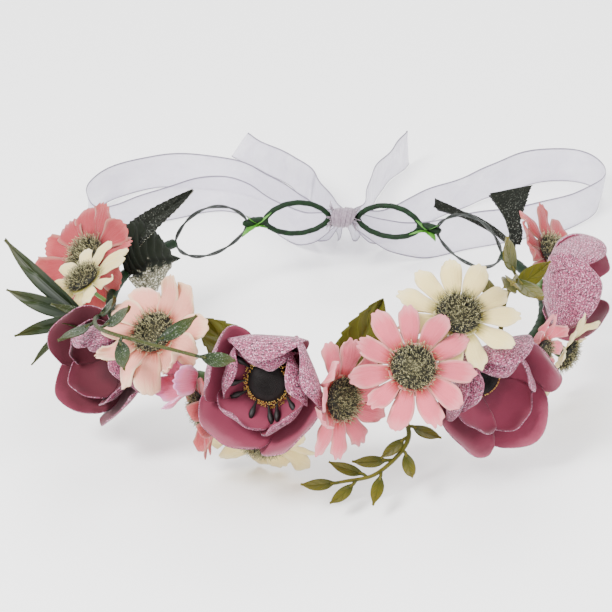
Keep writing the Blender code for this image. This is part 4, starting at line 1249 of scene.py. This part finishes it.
def make_spray(node, body, finish, slot, teeth, depth, cut):
    """Blades on one short stalk; cut says that they end in a pinked cut instead of a point."""
    pivot = Vector(joints[f"{node}_bend"]["pos_m"])
    foot, blades = read_spray(node, pivot)
    bm = start_mesh()
    rim = middle_of([blade.mids[0] for blade in blades])
    roll_tube(bm, smooth_route([pivot.lerp(foot, 0.4), foot, rim, rim.lerp(blades[0].mids[1], 0.2)], 3),
              lambda turn, s: 1.1 * MM, 8, 0.3)
    for blade in blades:
        belly_wide = blade.wide * (0.9 if cut else 1.5)
        tip_half = blade.halves[-1] if cut else 0.3 * MM
        spread, slant = (2.6, -0.26) if blade is blades[-1] else (1.5, 0.0)

        def place_at(u, s):
            trim = 0.025 * abs(saw(u * 5) - 0.5) + slant * (u + 0.5) if cut else 0.0
            place, way, face = blade.at(s * (1 + trim))
            belly = belly_wide * math.sin(math.pi * min(1.0, 0.16 + 0.83 * s)) ** 1.1
            half = max(belly, tip_half * s ** 1.2 * spread, 0.5 * MM * (1 - s))
            half *= 1 - depth * saw(s * teeth) * abs(u) ** 3
            relief = half * 0.35 * abs(u) - 0.25 * half * math.exp(-(u / 0.15) ** 2)
            return place + way * u * half + face * relief

        lay_grid(bm, 10, 48, place_at, rng.random())
    finish_piece(f"{node}_blades", bm, [finish], [node], body, slot, 0.35 * MM)
    print(node, "blades", len(blades))


make_spray("spear_leaves", "spear_spray", spear_leaf, "leaf_olive", 1, 0.0, False)
make_spray("strap_leaves", "strap_spray", strap_leaf, "leaf_velvet", 20, 0.10, True)

# %% [markdown]
# The ring is a steel wire wound with waxed paper tape.  Tape wound at a slant leaves a
# raised edge at every turn.  The radius of the rolled tube follows a saw-tooth that slips
# round as it goes along, and that is the spiral.

# %% Taped ring, eyelets and bare loops
TAPE_PITCH = 6.0 * MM
TAPE_EDGE = 0.28 * MM
BAND_RADIUS = 2.25 * MM


ends = [ring_angle(vert.co) for vert in frame["nodes"]["band_tape"].data.vertices]
low_end, high_end = min(ends), max(ends)
route = [ring_point(angle) for angle in np.linspace(low_end, high_end, 521)]
band_turns = math.radians(high_end - low_end) * ring_radius / TAPE_PITCH
bm = start_mesh()
roll_tube(bm, route, lambda turn, s: BAND_RADIUS - TAPE_EDGE * saw(s * band_turns + turn), 14, 0.5)
finish_piece("band_wrap", bm, [paper_tape], ["band_tape"], "crown", "tape")
frame["nodes"]["band_wire"].material_slots[0].link = "OBJECT"
frame["nodes"]["band_wire"].material_slots[0].material = bare_steel


EYE_PITCH = 4.5 * MM
STRAND_RADIUS = 0.42 * MM


def eye_route(node, wire, count):
    """The closed line down the middle of an eye of wire, from its own extent on the ring."""
    points = [vert.co for vert in frame["nodes"][node].data.vertices]
    angles = [ring_angle(point) % 360 for point in points]
    low, high = min(angles), max(angles)
    tall = max(point.z for point in points) - min(point.z for point in points)
    middle, half = (low + high) / 2, (high - low) / 2 - math.degrees(wire / ring_radius)
    route = []
    for index in range(count):
        turn = 2 * math.pi * index / count
        lift = math.sin(turn) * abs(math.sin(turn)) ** 0.3
        route.append(ring_point(middle + half * math.cos(turn), lift * (tall / 2 - wire)))
    return route


for side in ("left", "right"):
    bm = start_mesh()
    route = eye_route(f"eyelet_{side}", 1.2 * MM, 160)
    turns = round(sum((b - a).length for a, b in zip(route, route[1:] + route[:1])) / EYE_PITCH)
    roll_tube(bm, route, lambda turn, s: 1.32 * MM - 0.2 * MM * saw(s * turns + turn), 12, 0.5, closed=True)
    finish_piece(f"eyelet_{side}_wrap", bm, [paper_tape], [f"eyelet_{side}"], "crown", "tape")

    bm = start_mesh()
    route = eye_route(f"wire_loop_{side}", 0.6 * MM, 180)
    pairs = frames_along(route + [route[0]])
    for strand in (0.0, math.pi):
        strand_route = []
        for index, point in enumerate(route):
            one, two = pairs[index]
            twist = strand + 2 * math.pi * 5 * index / len(route)
            strand_route.append(point + (one * math.cos(twist) + two * math.sin(twist)) * STRAND_RADIUS)
        roll_tube(bm, strand_route, lambda turn, s: STRAND_RADIUS, 8, 0.5, closed=True)
    finish_piece(f"wire_loop_{side}_pair", bm, [coated_wire], [f"wire_loop_{side}"], "crown", "wire")

# %% [markdown]
# Where two wires meet, a maker winds the tape into a lump and tears it off, and the torn ends
# stand up.  The lump is a tube whose radius swells, and each torn end is a small tapered grid.

# %% Tape lumps with torn ends, and the taped middle inside the knot
def lump_route(node, extra):
    points = [vert.co for vert in frame["nodes"][node].data.vertices]
    angles = [ring_angle(point) % 360 for point in points]
    low, high = min(angles) - extra, max(angles) + extra
    return [ring_point(angle) for angle in np.linspace(low, high, 41)]


FLAP_WIDE = 3.4 * MM


def torn_end(bm, root, way, long, lift, slot):
    """A flap of tape that stands off the lump, torn to a point."""
    across = way.cross(lift).normalized()
    tone_value = rng.random()
    bend = rng.uniform(0.1, 0.5)

    def place_at(u, s):
        half = FLAP_WIDE * (1 - s) ** 0.8 * (1 - 0.2 * saw(s * 3)) + 0.1 * MM
        rise = long * bend * s * s + 0.25 * MM * u * u
        return root + way * long * s + across * u * half + lift * rise

    lay_grid(bm, 4, 10, place_at, tone_value, slot)


for side in ("left", "right"):
    node = f"tape_joint_{side}"
    route = lump_route(node, 2.0)
    bm = start_mesh()
    roll_tube(bm, route, lambda turn, s: (1.0 + 1.5 * math.sin(math.pi * s) ** 0.7
                                          - 0.3 * saw(s * 3 + turn)) * MM, 14, 0.5)
    middle = route[20]
    along_ring = (route[-1] - route[0]).normalized()
    outward = (middle - ring_centre).normalized()
    for sign, long, rise in ((1, 8.5, -0.5), (-1, 7.0, 0.6), (1, 6.0, 0.9), (-1, 5.5, -0.8)):
        lift = Vector((0, 0, rise))
        way = (along_ring * sign - outward * 0.35 + lift * 0.45).normalized()
        torn_end(bm, middle - outward * 1.2 * MM, way, long * MM, lift.normalized(), 1)
    finish_piece(f"{node}_wrap", bm, [paper_tape, bright_tape], [node], "crown", "tape")

bm = start_mesh()
route = lump_route("centre_joint", 0.4)
roll_tube(bm, route, lambda turn, s: (1.35 - 0.15 * saw(s * 3 + turn)) * MM, 12, 0.5)
finish_piece("centre_joint_wrap", bm, [paper_tape], ["centre_joint"], "crown", "tape")

# %% [markdown]
# The knot is the same organza, pulled so tight that it turns opaque and lilac grey, with
# pleats round it and threads that have frayed loose.  It is a grid rolled about the ring's
# own direction, with its radius pleated.

# %% The knot
low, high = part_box("bow_knot")
knot_middle = (low + high) / 2
knot_radius = (high.z - low.z) / 2
bm = start_mesh()
along_x = Vector((1, 0, 0))


def knot_surface(u, s):
    turn = 2 * math.pi * s
    pleat = 0.30 * MM * math.sin(u * 14 + 1.3 * math.sin(turn))
    pleat += 0.22 * MM * math.sin(u * 31 + 2 * math.sin(turn))
    crown_in = 1 - 0.32 * abs(u) ** 3
    squeeze = 1 + 0.10 * math.cos(2 * turn + 0.6)
    radius = (knot_radius * 0.93 * crown_in + pleat) * squeeze
    wide = (high.x - low.x) * 0.62 * (1 + 0.12 * math.sin(turn))
    lean = 0.9 * MM * math.sin(turn + 0.5)
    return knot_middle + along_x * (u * wide + lean) + Vector((0, math.cos(turn), math.sin(turn))) * radius


verts = lay_grid(bm, 48, 48, knot_surface, 0.5)
bmesh.ops.remove_doubles(bm, verts=verts, dist=WELD)
frayed = []
for index in range(70):
    turn = rng.uniform(0, 2 * math.pi)
    sign = 1 if index % 2 else -1
    out = Vector((0, math.cos(turn), math.sin(turn)))
    foot = knot_middle + along_x * sign * (high.x - low.x) * 0.55 + out * knot_radius * 0.6
    way = along_x * sign + out * rng.uniform(0.2, 1.6) + Vector((0, 0, rng.uniform(-0.3, 0.6)))
    way.normalize()
    long = rng.uniform(1.5, 5.0) * MM
    route = [foot, foot + way * long * 0.5, foot + (way + out * 0.5).normalized() * long]
    frayed.append((route, rng.random()))
roll_threads(bm, frayed, 0.09 * MM, 0)
finish_piece("bow_knot_cloth", bm, [knot_cloth], ["bow_knot"], "crown", "ribbon", 0.3 * MM)

# %% [markdown]
# The ribbon stands on its edge in two loops and two tails.  Its solids give the line it
# follows and its width at each place.  Real organza keeps a little of the crush from its
# packing, so the sheet gets slow waves that grow away from the knot, and the tails' ends are
# cut at a slant.

# %% Ribbon loops and tails
RIBBON_WALL = 0.25 * MM
RIBBON_WIDTH = 18 * MM
RIBBON_STEPS = 150
BLEND_REACH = 26 * MM     # the ribbon turns from the knot's way to its own over this
UP = Vector((0, 0, 1))


def read_ribbon(node):
    """The route and half width of a ribbon that stands on its edge."""
    bm = welded(node)
    near = min(bm.verts, key=lambda vert: (round((vert.co.xy - knot_place.xy).length, 5), vert.index))
    rows = rows_from(bm, [vert for vert in bm.verts if (vert.co.xy - near.co.xy).length < 1.3 * MM])
    bm.free()
    halves = [(max(p.z for p in row) - min(p.z for p in row)) / 2 for row in rows]
    return [middle_of(row) for row in rows], halves


def even_route(mids, halves, count):
    """The same route and widths at equal distances, and the whole length."""
    fine = smooth_route(mids, 8)
    widths = np.interp(np.arange(len(fine)) / 8, range(len(halves)), halves)
    gone = [0.0]
    for a, b in zip(fine, fine[1:]):
        gone.append(gone[-1] + (b - a).length)
    at = np.linspace(0, gone[-1], count)
    points = np.stack([np.interp(at, gone, [p[axis] for p in fine]) for axis in range(3)], axis=1)
    return [Vector(p) for p in points], list(np.interp(at, gone, widths)), gone[-1]


def make_ribbon(node, body, tail_cut):
    """A ribbon on its solid's route; tail_cut slants its end one way or the other, or is 0."""
    route, widths, length = even_route(*read_ribbon(node), RIBBON_STEPS + 1)
    floor = RIBBON_WALL + 0.3 * MM
    phase = rng.uniform(0, 6.28)
    bm = start_mesh()

    def place_at(u, s):
        if tail_cut and s > 0.5:
            s *= 1 - 0.085 * (u + 1) / 2 * tail_cut
        spot = min(RIBBON_STEPS - 1e-6, s * RIBBON_STEPS)
        index = int(spot)
        t = spot - index
        place = route[index].lerp(route[index + 1], t)
        half = widths[index] + (widths[index + 1] - widths[index]) * t
        ahead = (route[min(index + 1, RIBBON_STEPS)] - route[max(index - 1, 0)]).normalized()
        normal = ahead.cross(UP).normalized()
        loose = min(1.0, s * 6) * (1.0 if tail_cut else min(1.0, (1 - s) * 6))
        wave = 0.9 * MM * math.sin(s * length / (11 * MM) + phase + 1.2 * u) * loose
        wave += 0.5 * MM * math.sin(s * length / (5.3 * MM) - phase + 2.5 * u) * loose * abs(u)
        pinch = (1 - 2 * half / RIBBON_WIDTH) * 1.3 * MM * math.sin(u * 9)
        rise = 0.7 * MM * math.sin(s * length / (23 * MM) + phase) * loose
        point = place + UP * (u * half + rise * max(0.0, u)) + normal * (wave + pinch)
        point.z = max(point.z, floor)
        return point

    lay_grid(bm, 14, 220, place_at, 0.5)
    made = finish_piece(f"{node}_organza", bm, [organza], [node], None, "ribbon", RIBBON_WALL)
    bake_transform(made, "crown", body, start=knot_place, end=knot_place + Vector((0, BLEND_REACH, 0)))
    print(node, "length in mm", round(length / MM, 1))


make_ribbon("bow_loop_left", "left_bow_loop", 0)
make_ribbon("bow_loop_right", "right_bow_loop", 0)
make_ribbon("bow_tail_left", "left_tail", 1)
make_ribbon("bow_tail_right", "right_tail", -1)

# %% [markdown]
# A plain pale floor and soft light from large lamps, as in a small product studio.  The
# camera stands low in front, as a customer would look at the crown on a table.

# %% Floor, light and camera
floor_finish, tree, shader = start_material("studio_floor", 0.9, Base_Color=colour("#FFFFFF"))
bpy.ops.mesh.primitive_plane_add(size=8.0, location=(0, 0, -0.2 * MM))
floor = bpy.context.object
floor.name = "studio_floor"
floor.data.materials.append(floor_finish)
floor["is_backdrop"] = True

world = bpy.data.worlds.new("studio")
bpy.context.scene.world = world
world.use_nodes = True
sky = world.node_tree.nodes["Background"]
sky.inputs["Color"].default_value = (1.0, 1.0, 1.0, 1.0)
sky.inputs["Strength"].default_value = 1.7


def soft_lamp(name, place, power, size):
    lamp = bpy.data.lights.new(name, "AREA")
    lamp.energy = power
    lamp.size = size
    made = bpy.data.objects.new(name, lamp)
    bpy.context.scene.collection.objects.link(made)
    made.location = place
    made.rotation_mode = "QUATERNION"
    made.rotation_quaternion = (ring_centre - Vector(place)).to_track_quat("-Z", "Y")


soft_lamp("key_lamp", (-0.7, -0.9, 1.1), 40.0, 0.45)
soft_lamp("fill_lamp", (0.9, -0.6, 0.8), 12.0, 0.8)
soft_lamp("back_lamp", (0.1, 1.1, 1.2), 16.0, 0.9)

CAMERA_DISTANCE = 0.85
CAMERA_AZIMUTH, CAMERA_ELEVATION = math.radians(4.65), math.radians(24.51)
AIM_RIGHT, AIM_UP = -8.6 * MM, -2.9 * MM
camera_data = bpy.data.cameras.new("camera")
camera_data.sensor_width = 36.0
camera_data.lens = 122.5
camera = bpy.data.objects.new("camera", camera_data)
bpy.context.scene.collection.objects.link(camera)
level = math.cos(CAMERA_ELEVATION)
back = Vector((math.sin(CAMERA_AZIMUTH) * level, -math.cos(CAMERA_AZIMUTH) * level,
               math.sin(CAMERA_ELEVATION)))
right = Vector((math.cos(CAMERA_AZIMUTH), math.sin(CAMERA_AZIMUTH), 0.0))
aim = ring_centre + right * AIM_RIGHT + back.cross(right) * AIM_UP
camera.location = ring_centre + back * CAMERA_DISTANCE
camera.rotation_mode = "QUATERNION"
camera.rotation_quaternion = (aim - camera.location).to_track_quat("-Z", "Y")
bpy.context.scene.camera = camera

low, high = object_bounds()
print("visual box in mm", [round(v / MM, 1) for v in high - low])
